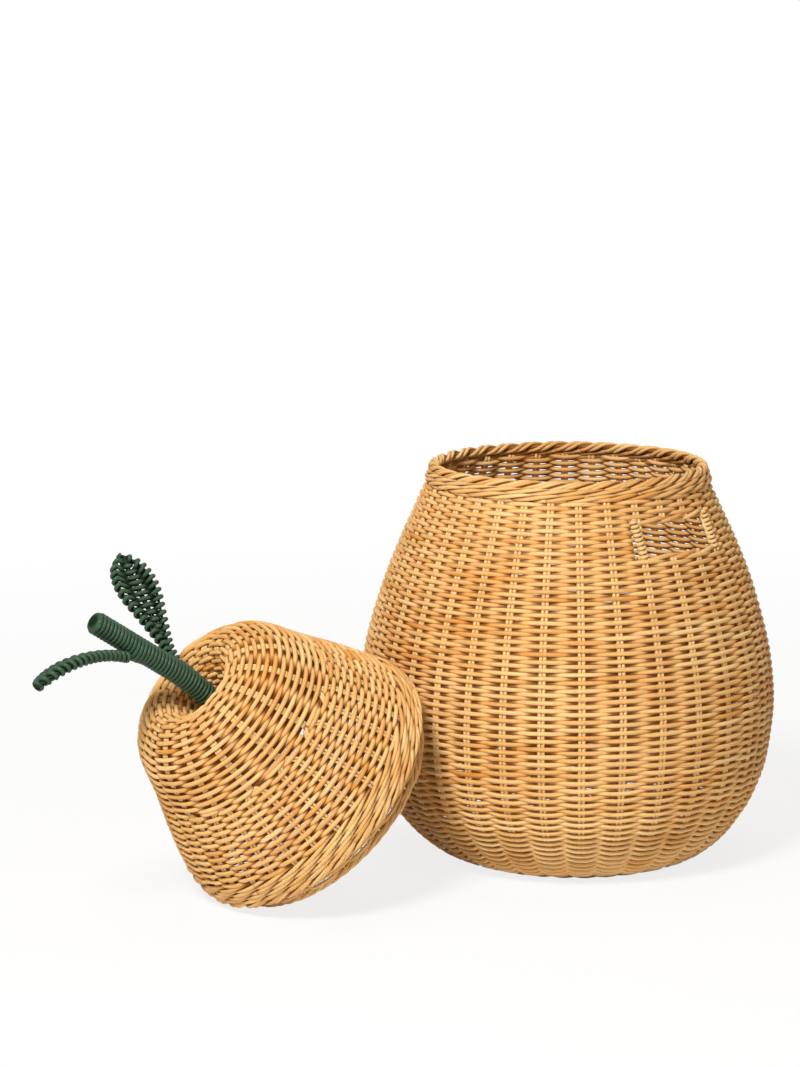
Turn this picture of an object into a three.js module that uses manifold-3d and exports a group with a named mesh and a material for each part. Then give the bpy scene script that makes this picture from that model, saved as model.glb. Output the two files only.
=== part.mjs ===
// Woven rattan storage basket in the shape of a pear, with its lid taken off.
// Units are millimetres, +Z is up, and the origin is on the floor under the basket's axis.
// The hand holes look along +X and -X. The lid leans on the basket's -Y side.
import * as THREE from "three";
import { mergeVertices } from "three/addons/utils/BufferGeometryUtils.js";
import Module from "manifold-3d";

const wasm = await Module();
wasm.setup();

// Clearances and counts that every piece shares
const GAP = 0.3;
const MERGE_DISTANCE = 0.0001;
const OVERRUN = 20;
const RING_SEGMENTS = 36;
const ROLL_SIDES = 8;
const ROD_SIDES = 6;
const TURN = 2 * Math.PI;

// Basket wall
const BODY_HEIGHT = 384;
const BELLY_RADIUS = 200;
const WEAVE_THICKNESS = 7;

// Outline of the wall's outside up to the belly: radius as a share of the belly's, height as a share
// of the body's
const WALL_LOWER_SHARES = [
  [0.560, 0.008], [0.655, 0.026], [0.755, 0.068], [0.835, 0.117], [0.906, 0.172], [0.970, 0.260],
  [1.000, 0.380],
];

// Outline over the belly: radius as a share of the way from the mouth's to the belly's
const WALL_UPPER_SHARES = [
  [0.970, 0.490], [0.867, 0.583], [0.703, 0.682], [0.476, 0.784], [0.212, 0.885], [-0.018, 0.974],
];

// Upright ribs of the wall: a crest where the rows pass over each pair of stakes, a furrow between two
// pairs. The pairs stand wider apart by the hand holes and closer at the front and back, and the ribs
// grow from the foot up.
const STAKE_PAIRS = 32;
const RIB_DEPTH = 3;
const RIB_GROWTH_RISE = 30;
const STAKE_SPREAD_DEG = 2.4;
const STAKE_SHIFT_DEG = 2.2;

// Heights, as shares of the body's, at which the wall under the hand holes is parted into bands
const FOOT_BAND_SHARE = 0.16;
const BELLY_BAND_SHARE = 0.49;

// Foot and base
const FOOT_ROLL_RADIUS = 5;
const FOOT_FLAT_DEPTH = 0.5;
const BASE_THICKNESS = 5;
const BASE_RISE = 5;
const SPOKE_WIDTH = 9;
const SPOKE_THICKNESS = 3.5;
const SPOKE_BARS = 5;

// Mouth
const MOUTH_RADIUS = 134;
const MOUTH_ROLL_RADIUS = 5;
const MOUTH_WALE_HEIGHT = 13;
const WALE_THICKNESS = 9;

// Hand holes, between two bound posts on each side
const HOLE_DROP = 38;
const HOLE_HEIGHT = 33;
const POST_OFFSET = 46.5;
const POST_CORE_RADIUS = 3;
const POST_SIDES = 8;

// Binding cord round each post
const BINDING_LOOPS = 7;
const BINDING_STEPS = 10;
const BINDING_SIDES = 4;
const BINDING_WIDTH = 3.4;
const BINDING_THICKNESS = 1.8;
const BINDING_MARGIN = 3.4;

// Lid
const LID_OVERHANG = 3;
const LID_HEIGHT = 168;
const LID_POINTS = 11;
const LID_ROLL_RADIUS = 5;
const LID_WALE_HEIGHT = 14;

// Outline of the lid's outside: radius as a share of the lid's, height as a share of the lid's
const LID_OUTLINE_SHARES = [
  [1.000, 0.000], [0.975, 0.143], [0.901, 0.327], [0.757, 0.598], [0.606, 0.875], [0.350, 1.000],
  [0.190, 0.905], [0.125, 0.762],
];

// Height, as a share of the lid's, at which its shell is parted into side and crown. In the crown the
// stakes are gathered, so it has fewer ribs.
const CROWN_SHARE = 0.59;
const CROWN_RIBS = 16;

// Collar that locates the lid in the mouth
const COLLAR_CLEARANCE = 3;
const COLLAR_THICKNESS = 6;
const COLLAR_DROP = 14;
const COLLAR_ROLL_RADIUS = 3.6;

// Stem: a bent core, the cord wound round it and the disc at its end. Drops and rises are measured
// from the bottom of the dimple.
const STEM_CORE_RADIUS = 7.5;
const STEM_SIDES = 12;
const STEM_FOOT_DROP = 28;
const STEM_STRAIGHT_RISE = 27;
const STEM_BEND_RADIUS = 250;
const STEM_BEND_DEG = 9;
const STEM_BEND_STEPS = 5;
const STEM_TIP_LENGTH = 94.5;
const STEM_CAP_THICKNESS = 2.5;
const STEM_CAP_RADIUS = 9.5;

// Cord wound round the stem
const WRAP_LOOPS = 24;
const WRAP_STEPS = 14;
const WRAP_SIDES = 5;
const WRAP_WIDTH = 5.1;
const WRAP_THICKNESS = 3;
const WRAP_START_RISE = 3;

// Peg across the foot of the stem, under the crown
const PEG_RADIUS = 3;
const PEG_CLEARANCE = 0.5;
const PEG_LENGTH = 30;
const PEG_DROP = 20;

// Leaves
const LEAF_LENGTH = 122;
const LEAF_WIDTH = 44;
const LEAF_STEPS = 14;
const LEAF_ROD_RADIUS = 2.2;
const LEAF_RIB_RADIUS = 1.6;
const LEAF_WEB_THICKNESS = 2.4;
const UPPER_LEAF_RISE = 61;
const UPPER_LEAF_SEAT_GAP = 0.6;
const LOWER_LEAF_RISE = 112;
const LOWER_LEAF_SEAT_GAP = -0.2;

// Half width of a leaf from its root to its tip: place along it, share of the half width
const LEAF_OUTLINE_SHARES = [
  [0.00, 0.22], [0.15, 0.32], [0.38, 0.62], [0.60, 0.93], [0.74, 1.00], [0.87, 0.86], [0.96, 0.52],
  [1.00, 0.14],
];
const LEAF_WEB_START_SHARE = 0.15;
const LEAF_WEB_END_SHARE = 0.92;
const LEAF_RIB_SHARE = 0.12;
const LEAF_RIB_START_SHARE = 0.2;
const LEAF_RIB_END_SHARE = 0.86;

// Each leaf in the lid's own frame: its root's rise along the stem and gap to the cord there, how far
// it curls down from root to tip, its direction and the direction of its width
const LEAVES = [
  {
    name: "leaf_upper", rise: UPPER_LEAF_RISE, seatGap: UPPER_LEAF_SEAT_GAP, curlDeg: 4,
    along: [-0.674, 0.487, 0.556], across: [0.006, 0.732, -0.681],
  },
  {
    name: "leaf_lower", rise: LOWER_LEAF_RISE, seatGap: LOWER_LEAF_SEAT_GAP, curlDeg: 46,
    along: [0.272, -0.708, 0.651], across: [-0.983, -0.184, 0.012],
  },
];

// Lean of the lid taken off: its tilt and the turn of that side from -Y
const LEAN_TILT_DEG = 47.8;
const LEAN_TURN_DEG = -9;

// Where the rim may touch the basket: an arc each way from its top, looked at in steps
const LEAN_REACH = TURN / 12;
const LEAN_STEPS = 241;

// Colours
const NATURAL_RATTAN = 0xc79a5b;
const SHADED_RATTAN = 0xb98a4c;
const PEELED_STICK = 0xc9a66f;
const GREEN_CORD = 0x3f6249;
const DARK_GREEN = 0x34533d;

const basket = new THREE.Group();
const lid = new THREE.Group();

// One closed body with merged vertices and its faces pointing out
function closedBody(geometry) {
  const bare = geometry.clone();
  bare.deleteAttribute("normal");
  bare.deleteAttribute("uv");
  const body = mergeVertices(bare, MERGE_DISTANCE);
  const point = body.attributes.position;
  const index = Array.from(body.index.array);
  let volume = 0;
  const a = new THREE.Vector3();
  const b = new THREE.Vector3();
  const c = new THREE.Vector3();
  for (let i = 0; i < index.length; i += 3) {
    a.fromBufferAttribute(point, index[i]);
    b.fromBufferAttribute(point, index[i + 1]);
    c.fromBufferAttribute(point, index[i + 2]);
    volume += a.dot(b.cross(c));
  }
  const kept = [];
  for (let i = 0; i < index.length; i += 3) {
    const [p, q, r] = [index[i], index[i + 1], index[i + 2]];
    if (p === q || q === r || r === p) continue;
    kept.push(...(volume > 0 ? [p, q, r] : [p, r, q]));
  }
  body.setIndex(kept);
  return body;
}

function toManifold(geometry) {
  const body = closedBody(geometry);
  const vertProperties = new Float32Array(body.attributes.position.array);
  const triVerts = new Uint32Array(body.index.array);
  return new wasm.Manifold(new wasm.Mesh({ numProp: 3, vertProperties, triVerts }));
}

function fromManifold(solid) {
  const mesh = solid.getMesh();
  const geometry = new THREE.BufferGeometry();
  geometry.setAttribute("position", new THREE.BufferAttribute(mesh.vertProperties, 3));
  geometry.setIndex(new THREE.BufferAttribute(mesh.triVerts, 1));
  return geometry;
}

function addPiece(group, name, geometry, color, roughness = 0.62) {
  const material = new THREE.MeshStandardMaterial({ color, roughness, metalness: 0 });
  const mesh = new THREE.Mesh(closedBody(geometry), material);
  mesh.name = name;
  group.add(mesh);
  return mesh;
}

// Ring about Z from a closed outline of [radius, height] points
function ring(outline) {
  const points = outline.map(([radius, height]) => new THREE.Vector2(radius, height));
  points.push(points[0].clone());
  return new THREE.LatheGeometry(points, RING_SEGMENTS).rotateX(TURN / 4);
}

function roll(radius, height, rollRadius) {
  const outline = [];
  for (let i = 0; i < ROLL_SIDES; i++) {
    const angle = TURN * (i + 0.5) / ROLL_SIDES;
    outline.push([radius + rollRadius * Math.cos(angle), height + rollRadius * Math.sin(angle)]);
  }
  return ring(outline);
}

// Smooth outline through [radius, height] knots
function smoothOutline(knots, count) {
  const points = knots.map(([radius, height]) => new THREE.Vector2(radius, height));
  return new THREE.SplineCurve(points).getPoints(count - 1).map((p) => [p.x, p.y]);
}

// Points of an outline moved inwards, or outwards by a negative distance, square to it
function inset(outline, distance) {
  return outline.map(([r, h], i) => {
    const [r0, h0] = outline[Math.max(i - 1, 0)];
    const [r1, h1] = outline[Math.min(i + 1, outline.length - 1)];
    const length = Math.hypot(r1 - r0, h1 - h0);
    return [r - distance * (h1 - h0) / length, h + distance * (r1 - r0) / length];
  });
}

// Radius of an outline at a height, on its rising run
function radiusAt(outline, height) {
  for (let i = 1; i < outline.length; i++) {
    const [r0, h0] = outline[i - 1];
    const [r1, h1] = outline[i];
    if (height <= h1) return r0 + (r1 - r0) * (height - h0) / (h1 - h0);
  }
  return outline.at(-1)[0];
}

// Unbroken tube from rings of points of equal length, with caps unless it closes on itself
function skin(rings, closed = false) {
  const sides = rings[0].length;
  const corners = rings.flat();
  const index = [];
  for (let i = 0; i + (closed ? 0 : 1) < rings.length; i++) {
    const next = (i + 1) % rings.length;
    for (let j = 0; j < sides; j++) {
      const k = (j + 1) % sides;
      const [a, b, c, d] = [i * sides + j, i * sides + k, next * sides + k, next * sides + j];
      index.push(a, b, c, a, c, d);
    }
  }
  const last = (rings.length - 1) * sides;
  for (let j = 1; j + 1 < sides && !closed; j++) {
    index.push(0, j + 1, j);
    index.push(last, last + j, last + j + 1);
  }
  const geometry = new THREE.BufferGeometry();
  geometry.setAttribute("position", new THREE.Float32BufferAttribute(corners.flatMap((p) => p.toArray()), 3));
  geometry.setIndex(index);
  return geometry;
}

// Place round the basket of a stake pair, or of the furrow after it at half a step more
function stakeAngle(index) {
  const even = TURN * (index + 0.5) / STAKE_PAIRS;
  const spread = THREE.MathUtils.degToRad(STAKE_SPREAD_DEG) * Math.sin(2 * even);
  return even + spread - THREE.MathUtils.degToRad(STAKE_SHIFT_DEG) * Math.sin(even);
}

// Shell about Z with upright ribs on its outside, from the outlines of a crest, a furrow and the inside
function ribbedShell(crest, furrow, inside, ribs, angleAt) {
  const rings = [];
  for (let i = 0; i < 2 * ribs; i++) {
    const angle = angleAt(i / 2);
    const outline = [...(i % 2 === 0 ? crest : furrow), ...inside];
    rings.push(outline.map(([r, h]) => new THREE.Vector3(r * Math.cos(angle), r * Math.sin(angle), h)));
  }
  return skin(rings, true);
}

// Part of an outline between two heights
function cutOutline(outline, low, high) {
  return [
    [radiusAt(outline, low), low],
    ...outline.filter(([, height]) => height > low + GAP && height < high - GAP),
    [radiusAt(outline, high), high],
  ];
}

// Round rod along a curve
function rod(curve, radius, steps, sides) {
  const shape = new THREE.Shape();
  for (let i = 0; i < sides; i++) {
    const angle = TURN * i / sides;
    const [x, y] = [radius * Math.cos(angle), radius * Math.sin(angle)];
    if (i === 0) shape.moveTo(x, y);
    else shape.lineTo(x, y);
  }
  shape.closePath();
  return new THREE.ExtrudeGeometry(shape, { steps, extrudePath: curve, bevelEnabled: false });
}

// Cord wound round a centre line, as rings of points; centreAt gives a place and two square directions
function winding(centreAt, { start, end, loops, steps, sides, radius, width, thickness }) {
  const rings = [];
  const count = loops * steps;
  const section = (place, outward, along) => {
    const points = [];
    for (let j = 0; j < sides; j++) {
      const angle = TURN * (j + 0.5) / sides;
      const point = place.clone().addScaledVector(outward, thickness / 2 * Math.cos(angle));
      points.push(point.addScaledVector(along, width / 2 * Math.sin(angle)));
    }
    return points;
  };
  const places = [];
  for (let i = 0; i <= count; i++) {
    const share = i / count;
    const { centre, side, up, along } = centreAt(start + (end - start) * share);
    const angle = TURN * loops * share;
    const outward = side.clone().multiplyScalar(Math.cos(angle)).addScaledVector(up, Math.sin(angle));
    places.push({ place: centre.clone().addScaledVector(outward, radius), outward, along });
  }
  const straight = (from, next) => {
    const run = from.place.clone().sub(next.place).setLength(thickness);
    return section(from.place.clone().add(run), from.outward, from.along);
  };
  rings.push(straight(places[0], places[1]));
  for (const { place, outward, along } of places) rings.push(section(place, outward, along));
  rings.push(straight(places[count], places[count - 1]));
  return rings;
}

// Least distance between the points of a winding that are more than half a turn apart along it
function leastGap(rings, steps) {
  let least = Infinity;
  for (let i = 0; i < rings.length; i++) {
    for (let j = i + Math.ceil(steps / 2); j < rings.length; j++) {
      for (const a of rings[i]) {
        for (const b of rings[j]) least = Math.min(least, a.distanceTo(b));
      }
    }
  }
  return least;
}

const neckReach = BELLY_RADIUS - MOUTH_RADIUS;
const wallOuter = [
  ...WALL_LOWER_SHARES.map(([r, h]) => [r * BELLY_RADIUS, h * BODY_HEIGHT]),
  ...WALL_UPPER_SHARES.map(([r, h]) => [MOUTH_RADIUS + r * neckReach, h * BODY_HEIGHT]),
];
const wallInner = inset(wallOuter, WEAVE_THICKNESS);
const holeHigh = BODY_HEIGHT - HOLE_DROP;
const holeLow = holeHigh - HOLE_HEIGHT;
const footEdge = wallOuter[0][0];
const footTop = 2 * FOOT_ROLL_RADIUS - FOOT_FLAT_DEPTH;
const baseLow = footTop + GAP;
const waleLow = BODY_HEIGHT - 2 * MOUTH_ROLL_RADIUS - GAP - MOUTH_WALE_HEIGHT;
const mouthInner = MOUTH_RADIUS - 2 * MOUTH_ROLL_RADIUS;

// Depth of the furrows at a height on the wall
function furrowDepth(height) {
  return RIB_DEPTH * Math.min((height - wallOuter[0][1]) / RIB_GROWTH_RISE, 1);
}

function wallFurrow([radius, height]) {
  return [radius - furrowDepth(height), height];
}

// Ribbed band of the wall, cut level at two heights
function wallBand(low, high) {
  const crest = cutOutline(wallOuter, low, high);
  const inside = cutOutline(wallInner, low, high).reverse();
  return ribbedShell(crest, crest.map(wallFurrow), inside, STAKE_PAIRS, stakeAngle);
}

// Foot border: the twisted ring that the basket stands on, worn flat where it meets the floor
function footBorder() {
  const centre = footEdge - GAP - FOOT_ROLL_RADIUS;
  const outline = [];
  for (let i = 0; i < ROLL_SIDES; i++) {
    const angle = TURN * (i + 0.5) / ROLL_SIDES;
    const height = FOOT_ROLL_RADIUS - FOOT_FLAT_DEPTH + FOOT_ROLL_RADIUS * Math.sin(angle);
    outline.push([centre + FOOT_ROLL_RADIUS * Math.cos(angle), Math.max(height, 0)]);
  }
  addPiece(basket, "foot_border", ring(outline), SHADED_RATTAN);
}

// Base: a domed woven disc and the crossing sticks that it is woven on
function base() {
  const edge = footEdge - GAP;
  const disc = [
    new THREE.Vector2(0, baseLow + BASE_RISE),
    new THREE.Vector2(edge, baseLow),
    new THREE.Vector2(edge, baseLow + BASE_THICKNESS),
    new THREE.Vector2(0, baseLow + BASE_RISE + BASE_THICKNESS),
  ];
  const weave = new THREE.LatheGeometry(disc, RING_SEGMENTS).rotateX(TURN / 4);
  addPiece(basket, "base_weave", weave, SHADED_RATTAN);
  const level = baseLow + BASE_RISE + BASE_THICKNESS + GAP + SPOKE_THICKNESS / 2;
  let spokes = null;
  for (let i = 0; i < SPOKE_BARS; i++) {
    const bar = new THREE.BoxGeometry(2 * edge - SPOKE_WIDTH, SPOKE_WIDTH, SPOKE_THICKNESS);
    bar.rotateZ(TURN / 2 * i / SPOKE_BARS).translate(0, 0, level);
    spokes = spokes ? spokes.add(toManifold(bar)) : toManifold(bar);
  }
  addPiece(basket, "base_spokes", fromManifold(spokes), PEELED_STICK);
}

// Wall: three bands of rows under the hand holes, the two panels between them and the rows above
function wall() {
  const footBandTop = FOOT_BAND_SHARE * BODY_HEIGHT;
  const bellyBandTop = BELLY_BAND_SHARE * BODY_HEIGHT;
  const footCrest = [
    ...wallOuter.filter(([, height]) => height < footBandTop - GAP),
    [radiusAt(wallOuter, footBandTop), footBandTop],
  ];
  const footInside = [
    [radiusAt(wallInner, footBandTop), footBandTop],
    ...wallInner.slice(1).filter(([, height]) => height < footBandTop - GAP).reverse(),
    [footEdge, wallOuter[0][1] + WEAVE_THICKNESS + GAP],
  ];
  const foot = ribbedShell(footCrest, footCrest.map(wallFurrow), footInside, STAKE_PAIRS, stakeAngle);
  addPiece(basket, "wall_foot", foot, NATURAL_RATTAN);
  addPiece(basket, "wall_belly", wallBand(footBandTop + GAP, bellyBandTop), NATURAL_RATTAN);
  addPiece(basket, "wall_shoulder", wallBand(bellyBandTop + GAP, holeLow), NATURAL_RATTAN);
  const band = toManifold(wallBand(holeLow + GAP, holeHigh - GAP));
  const bandHeight = holeHigh - holeLow + OVERRUN;
  const reach = BELLY_RADIUS + OVERRUN;
  const panelStart = POST_OFFSET + POST_CORE_RADIUS + BINDING_THICKNESS + 2 * GAP;
  for (const [name, side] of [["wall_panel_front", -1], ["wall_panel_back", 1]]) {
    const block = new THREE.BoxGeometry(2 * reach, reach, bandHeight);
    block.translate(0, side * (panelStart + reach / 2), (holeLow + holeHigh) / 2);
    addPiece(basket, name, fromManifold(band.intersect(toManifold(block))), NATURAL_RATTAN);
  }
  addPiece(basket, "wall_upper", wallBand(holeHigh, waleLow - GAP), NATURAL_RATTAN);
}

// Posts at the ends of the hand holes, each bound with cord
function posts() {
  const middle = wallOuter.map(([r], i) => [(r + wallInner[i][0]) / 2, wallOuter[i][1]]);
  const [low, high] = [holeLow + GAP, holeHigh - GAP];
  const reachAt = (height) => Math.sqrt(radiusAt(middle, height) ** 2 - POST_OFFSET ** 2);
  const slope = (reachAt(high) - reachAt(low)) / (high - low);
  for (const [sideName, side] of [["right", 1], ["left", -1]]) {
    for (const [endName, end] of [["front", -1], ["back", 1]]) {
      const centreAt = (height) => ({
        centre: new THREE.Vector3(side * (reachAt(low) + slope * (height - low)), end * POST_OFFSET, height),
        side: new THREE.Vector3(1, 0, 0),
        up: new THREE.Vector3(0, 1, 0),
        along: new THREE.Vector3(side * slope, 0, 1).normalize(),
      });
      const rings = [low, high].map((height) => {
        const { centre, side: x, up: y } = centreAt(height);
        return Array.from({ length: POST_SIDES }, (_, i) => {
          const angle = TURN * i / POST_SIDES;
          const point = centre.clone().addScaledVector(x, POST_CORE_RADIUS * Math.cos(angle));
          return point.addScaledVector(y, POST_CORE_RADIUS * Math.sin(angle));
        });
      });
      const name = `handle_post_${sideName}_${endName}`;
      addPiece(basket, name, skin(rings), PEELED_STICK);
      const cord = winding(centreAt, {
        start: low + BINDING_MARGIN, end: high - BINDING_MARGIN, loops: BINDING_LOOPS, steps: BINDING_STEPS,
        sides: BINDING_SIDES, radius: POST_CORE_RADIUS + GAP + BINDING_THICKNESS / 2,
        width: BINDING_WIDTH, thickness: BINDING_THICKNESS,
      });
      console.log(`${name} binding, least gap to itself: ${leastGap(cord, BINDING_STEPS).toFixed(2)} mm`);
      addPiece(basket, `handle_binding_${sideName}_${endName}`, skin(cord), NATURAL_RATTAN);
    }
  }
}

// Mouth: the waling under the border and the rope-like border itself
function mouth() {
  const outside = radiusAt(wallOuter, waleLow) + (WALE_THICKNESS - WEAVE_THICKNESS) / 2;
  const top = waleLow + MOUTH_WALE_HEIGHT;
  const outline = [
    [outside, waleLow],
    [MOUTH_RADIUS, top],
    [MOUTH_RADIUS - WALE_THICKNESS, top],
    [outside - WALE_THICKNESS, waleLow],
  ];
  addPiece(basket, "mouth_wale", ring(outline), NATURAL_RATTAN);
  const centre = MOUTH_RADIUS - MOUTH_ROLL_RADIUS;
  addPiece(basket, "mouth_border", roll(centre, BODY_HEIGHT - MOUTH_ROLL_RADIUS, MOUTH_ROLL_RADIUS), SHADED_RATTAN);
}

const lidRadius = MOUTH_RADIUS + LID_OVERHANG;
const rimTop = 2 * LID_ROLL_RADIUS;
const lidWaleLow = rimTop + GAP;
const lidWaleTop = lidWaleLow + LID_WALE_HEIGHT;
const lidKnots = LID_OUTLINE_SHARES.map(([r, h]) => [r * lidRadius, h * LID_HEIGHT]);
const lidOuter = smoothOutline(lidKnots, LID_POINTS + 1);
const lidInner = inset(lidOuter, WEAVE_THICKNESS);
const dimpleHeight = lidOuter.at(-1)[1];

// Lid: its pear-top shell with the dimple and the hole for the stem, its waling and its border
function lidShell() {
  const stemHole = STEM_CORE_RADIUS + 2 * GAP;
  const parting = CROWN_SHARE * LID_HEIGHT;
  const evenly = (ribs) => (index) => TURN * (index + 0.5) / ribs;
  const sideCrest = cutOutline(lidOuter, lidWaleTop + GAP, parting);
  const sideFurrow = sideCrest.map(([radius, height]) => [radius - RIB_DEPTH, height]);
  const sideInside = cutOutline(lidInner, lidWaleTop + GAP, parting).reverse();
  const side = ribbedShell(sideCrest, sideFurrow, sideInside, STAKE_PAIRS, evenly(STAKE_PAIRS));
  addPiece(lid, "lid_side", side, NATURAL_RATTAN);
  const low = parting + GAP;
  const isCrown = ([, height], i) => height > low + GAP || i > LID_POINTS / 2;
  const stemEdge = [stemHole, dimpleHeight - WEAVE_THICKNESS / 2];
  const crownStart = [radiusAt(lidOuter, low), low];
  const crownRun = lidOuter.filter(isCrown);
  const crownFurrow = inset([crownStart, ...crownRun], RIB_DEPTH).slice(1, -1);
  const crown = ribbedShell(
    [crownStart, ...crownRun, stemEdge],
    [[crownStart[0] - RIB_DEPTH, low], ...crownFurrow, crownRun.at(-1), stemEdge],
    [
      [stemHole, stemEdge[1] - WEAVE_THICKNESS],
      ...lidInner.filter(isCrown).reverse(),
      [radiusAt(lidInner, low), low],
    ],
    CROWN_RIBS,
    evenly(CROWN_RIBS),
  );
  addPiece(lid, "lid_crown", crown, NATURAL_RATTAN);
  const outside = radiusAt(lidOuter, lidWaleTop) + (WALE_THICKNESS - WEAVE_THICKNESS) / 2;
  const wale = [
    [lidRadius, lidWaleLow],
    [outside, lidWaleTop],
    [outside - WALE_THICKNESS, lidWaleTop],
    [lidRadius - WALE_THICKNESS, lidWaleLow],
  ];
  addPiece(lid, "lid_wale", ring(wale), NATURAL_RATTAN);
  addPiece(lid, "lid_border", roll(lidRadius - LID_ROLL_RADIUS, LID_ROLL_RADIUS, LID_ROLL_RADIUS), SHADED_RATTAN);
}

const collarCentre = mouthInner - COLLAR_CLEARANCE - COLLAR_ROLL_RADIUS;
const collarDepth = COLLAR_DROP + GAP + COLLAR_ROLL_RADIUS;

// Collar: the inner ring that drops into the mouth, held where it meets the lid's inside, with its
// own small border
function collar() {
  const outside = mouthInner - COLLAR_CLEARANCE;
  const narrowing = lidInner.map(([radius, height]) => [height, -radius]);
  const top = radiusAt(narrowing, -outside - GAP);
  const outline = [
    [outside, -COLLAR_DROP],
    [outside, top],
    [outside - COLLAR_THICKNESS, top],
    [outside - COLLAR_THICKNESS, -COLLAR_DROP],
  ];
  addPiece(lid, "collar_weave", ring(outline), NATURAL_RATTAN);
  addPiece(lid, "collar_border", roll(collarCentre, -collarDepth, COLLAR_ROLL_RADIUS), SHADED_RATTAN);
}

const straightEnd = dimpleHeight + STEM_STRAIGHT_RISE;
const pegHeight = dimpleHeight - PEG_DROP;

// Centre line of the stem: straight up the lid's axis, bent towards -Y, and straight again
function stemAt(distance) {
  const bend = THREE.MathUtils.degToRad(STEM_BEND_DEG);
  const bendLength = STEM_BEND_RADIUS * bend;
  const beyond = distance - straightEnd;
  const angle = Math.min(Math.max(beyond / STEM_BEND_RADIUS, 0), bend);
  const rest = Math.max(beyond - bendLength, 0) + Math.min(beyond, 0);
  const along = new THREE.Vector3(0, -Math.sin(angle), Math.cos(angle));
  const centre = new THREE.Vector3(0, -STEM_BEND_RADIUS * (1 - Math.cos(angle)), straightEnd);
  centre.z += STEM_BEND_RADIUS * Math.sin(angle);
  centre.addScaledVector(along, rest);
  const side = new THREE.Vector3(1, 0, 0);
  return { centre, side, up: along.clone().cross(side), along };
}

const bendLength = STEM_BEND_RADIUS * THREE.MathUtils.degToRad(STEM_BEND_DEG);
const stemEnd = straightEnd + bendLength + STEM_TIP_LENGTH;

function stemRing(distance, radius) {
  const { centre, side, up } = stemAt(distance);
  return Array.from({ length: STEM_SIDES }, (_, i) => {
    const angle = TURN * i / STEM_SIDES;
    const point = centre.clone().addScaledVector(side, radius * Math.cos(angle));
    return point.addScaledVector(up, radius * Math.sin(angle));
  });
}

// Stem: core with the cross hole for its peg, wound cord and end disc
function stem() {
  const coreEnd = stemEnd - STEM_CAP_THICKNESS - GAP;
  const stations = [dimpleHeight - STEM_FOOT_DROP];
  for (let i = 0; i <= STEM_BEND_STEPS; i++) stations.push(straightEnd + bendLength * i / STEM_BEND_STEPS);
  stations.push(coreEnd);
  const core = toManifold(skin(stations.map((distance) => stemRing(distance, STEM_CORE_RADIUS))));
  const drill = new THREE.CylinderGeometry(
    PEG_RADIUS + PEG_CLEARANCE, PEG_RADIUS + PEG_CLEARANCE, 2 * STEM_CORE_RADIUS + OVERRUN, STEM_SIDES);
  drill.rotateZ(TURN / 4).translate(0, 0, pegHeight);
  addPiece(lid, "stem_core", fromManifold(core.subtract(toManifold(drill))), DARK_GREEN, 0.7);
  const cord = winding(stemAt, {
    start: dimpleHeight + WRAP_START_RISE + WRAP_WIDTH / 2, end: coreEnd - WRAP_WIDTH / 2, loops: WRAP_LOOPS,
    steps: WRAP_STEPS, sides: WRAP_SIDES, radius: STEM_CORE_RADIUS + GAP + WRAP_THICKNESS / 2,
    width: WRAP_WIDTH, thickness: WRAP_THICKNESS,
  });
  console.log(`stem_wrap, least gap to itself: ${leastGap(cord, WRAP_STEPS).toFixed(2)} mm`);
  addPiece(lid, "stem_wrap", skin(cord), GREEN_CORD, 0.55);
  const cap = skin([stemRing(stemEnd - STEM_CAP_THICKNESS, STEM_CAP_RADIUS), stemRing(stemEnd, STEM_CAP_RADIUS)]);
  addPiece(lid, "stem_cap", cap, GREEN_CORD, 0.55);
  const peg = new THREE.CylinderGeometry(PEG_RADIUS, PEG_RADIUS, PEG_LENGTH, STEM_SIDES);
  peg.rotateZ(TURN / 4).translate(0, 0, pegHeight);
  addPiece(lid, "stem_peg", peg, PEELED_STICK);
}

const leafKnots = LEAF_OUTLINE_SHARES.map(([place, half]) => [half, place]);
const leafOutline = smoothOutline(leafKnots, 2 * LEAF_STEPS + 1);

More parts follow.
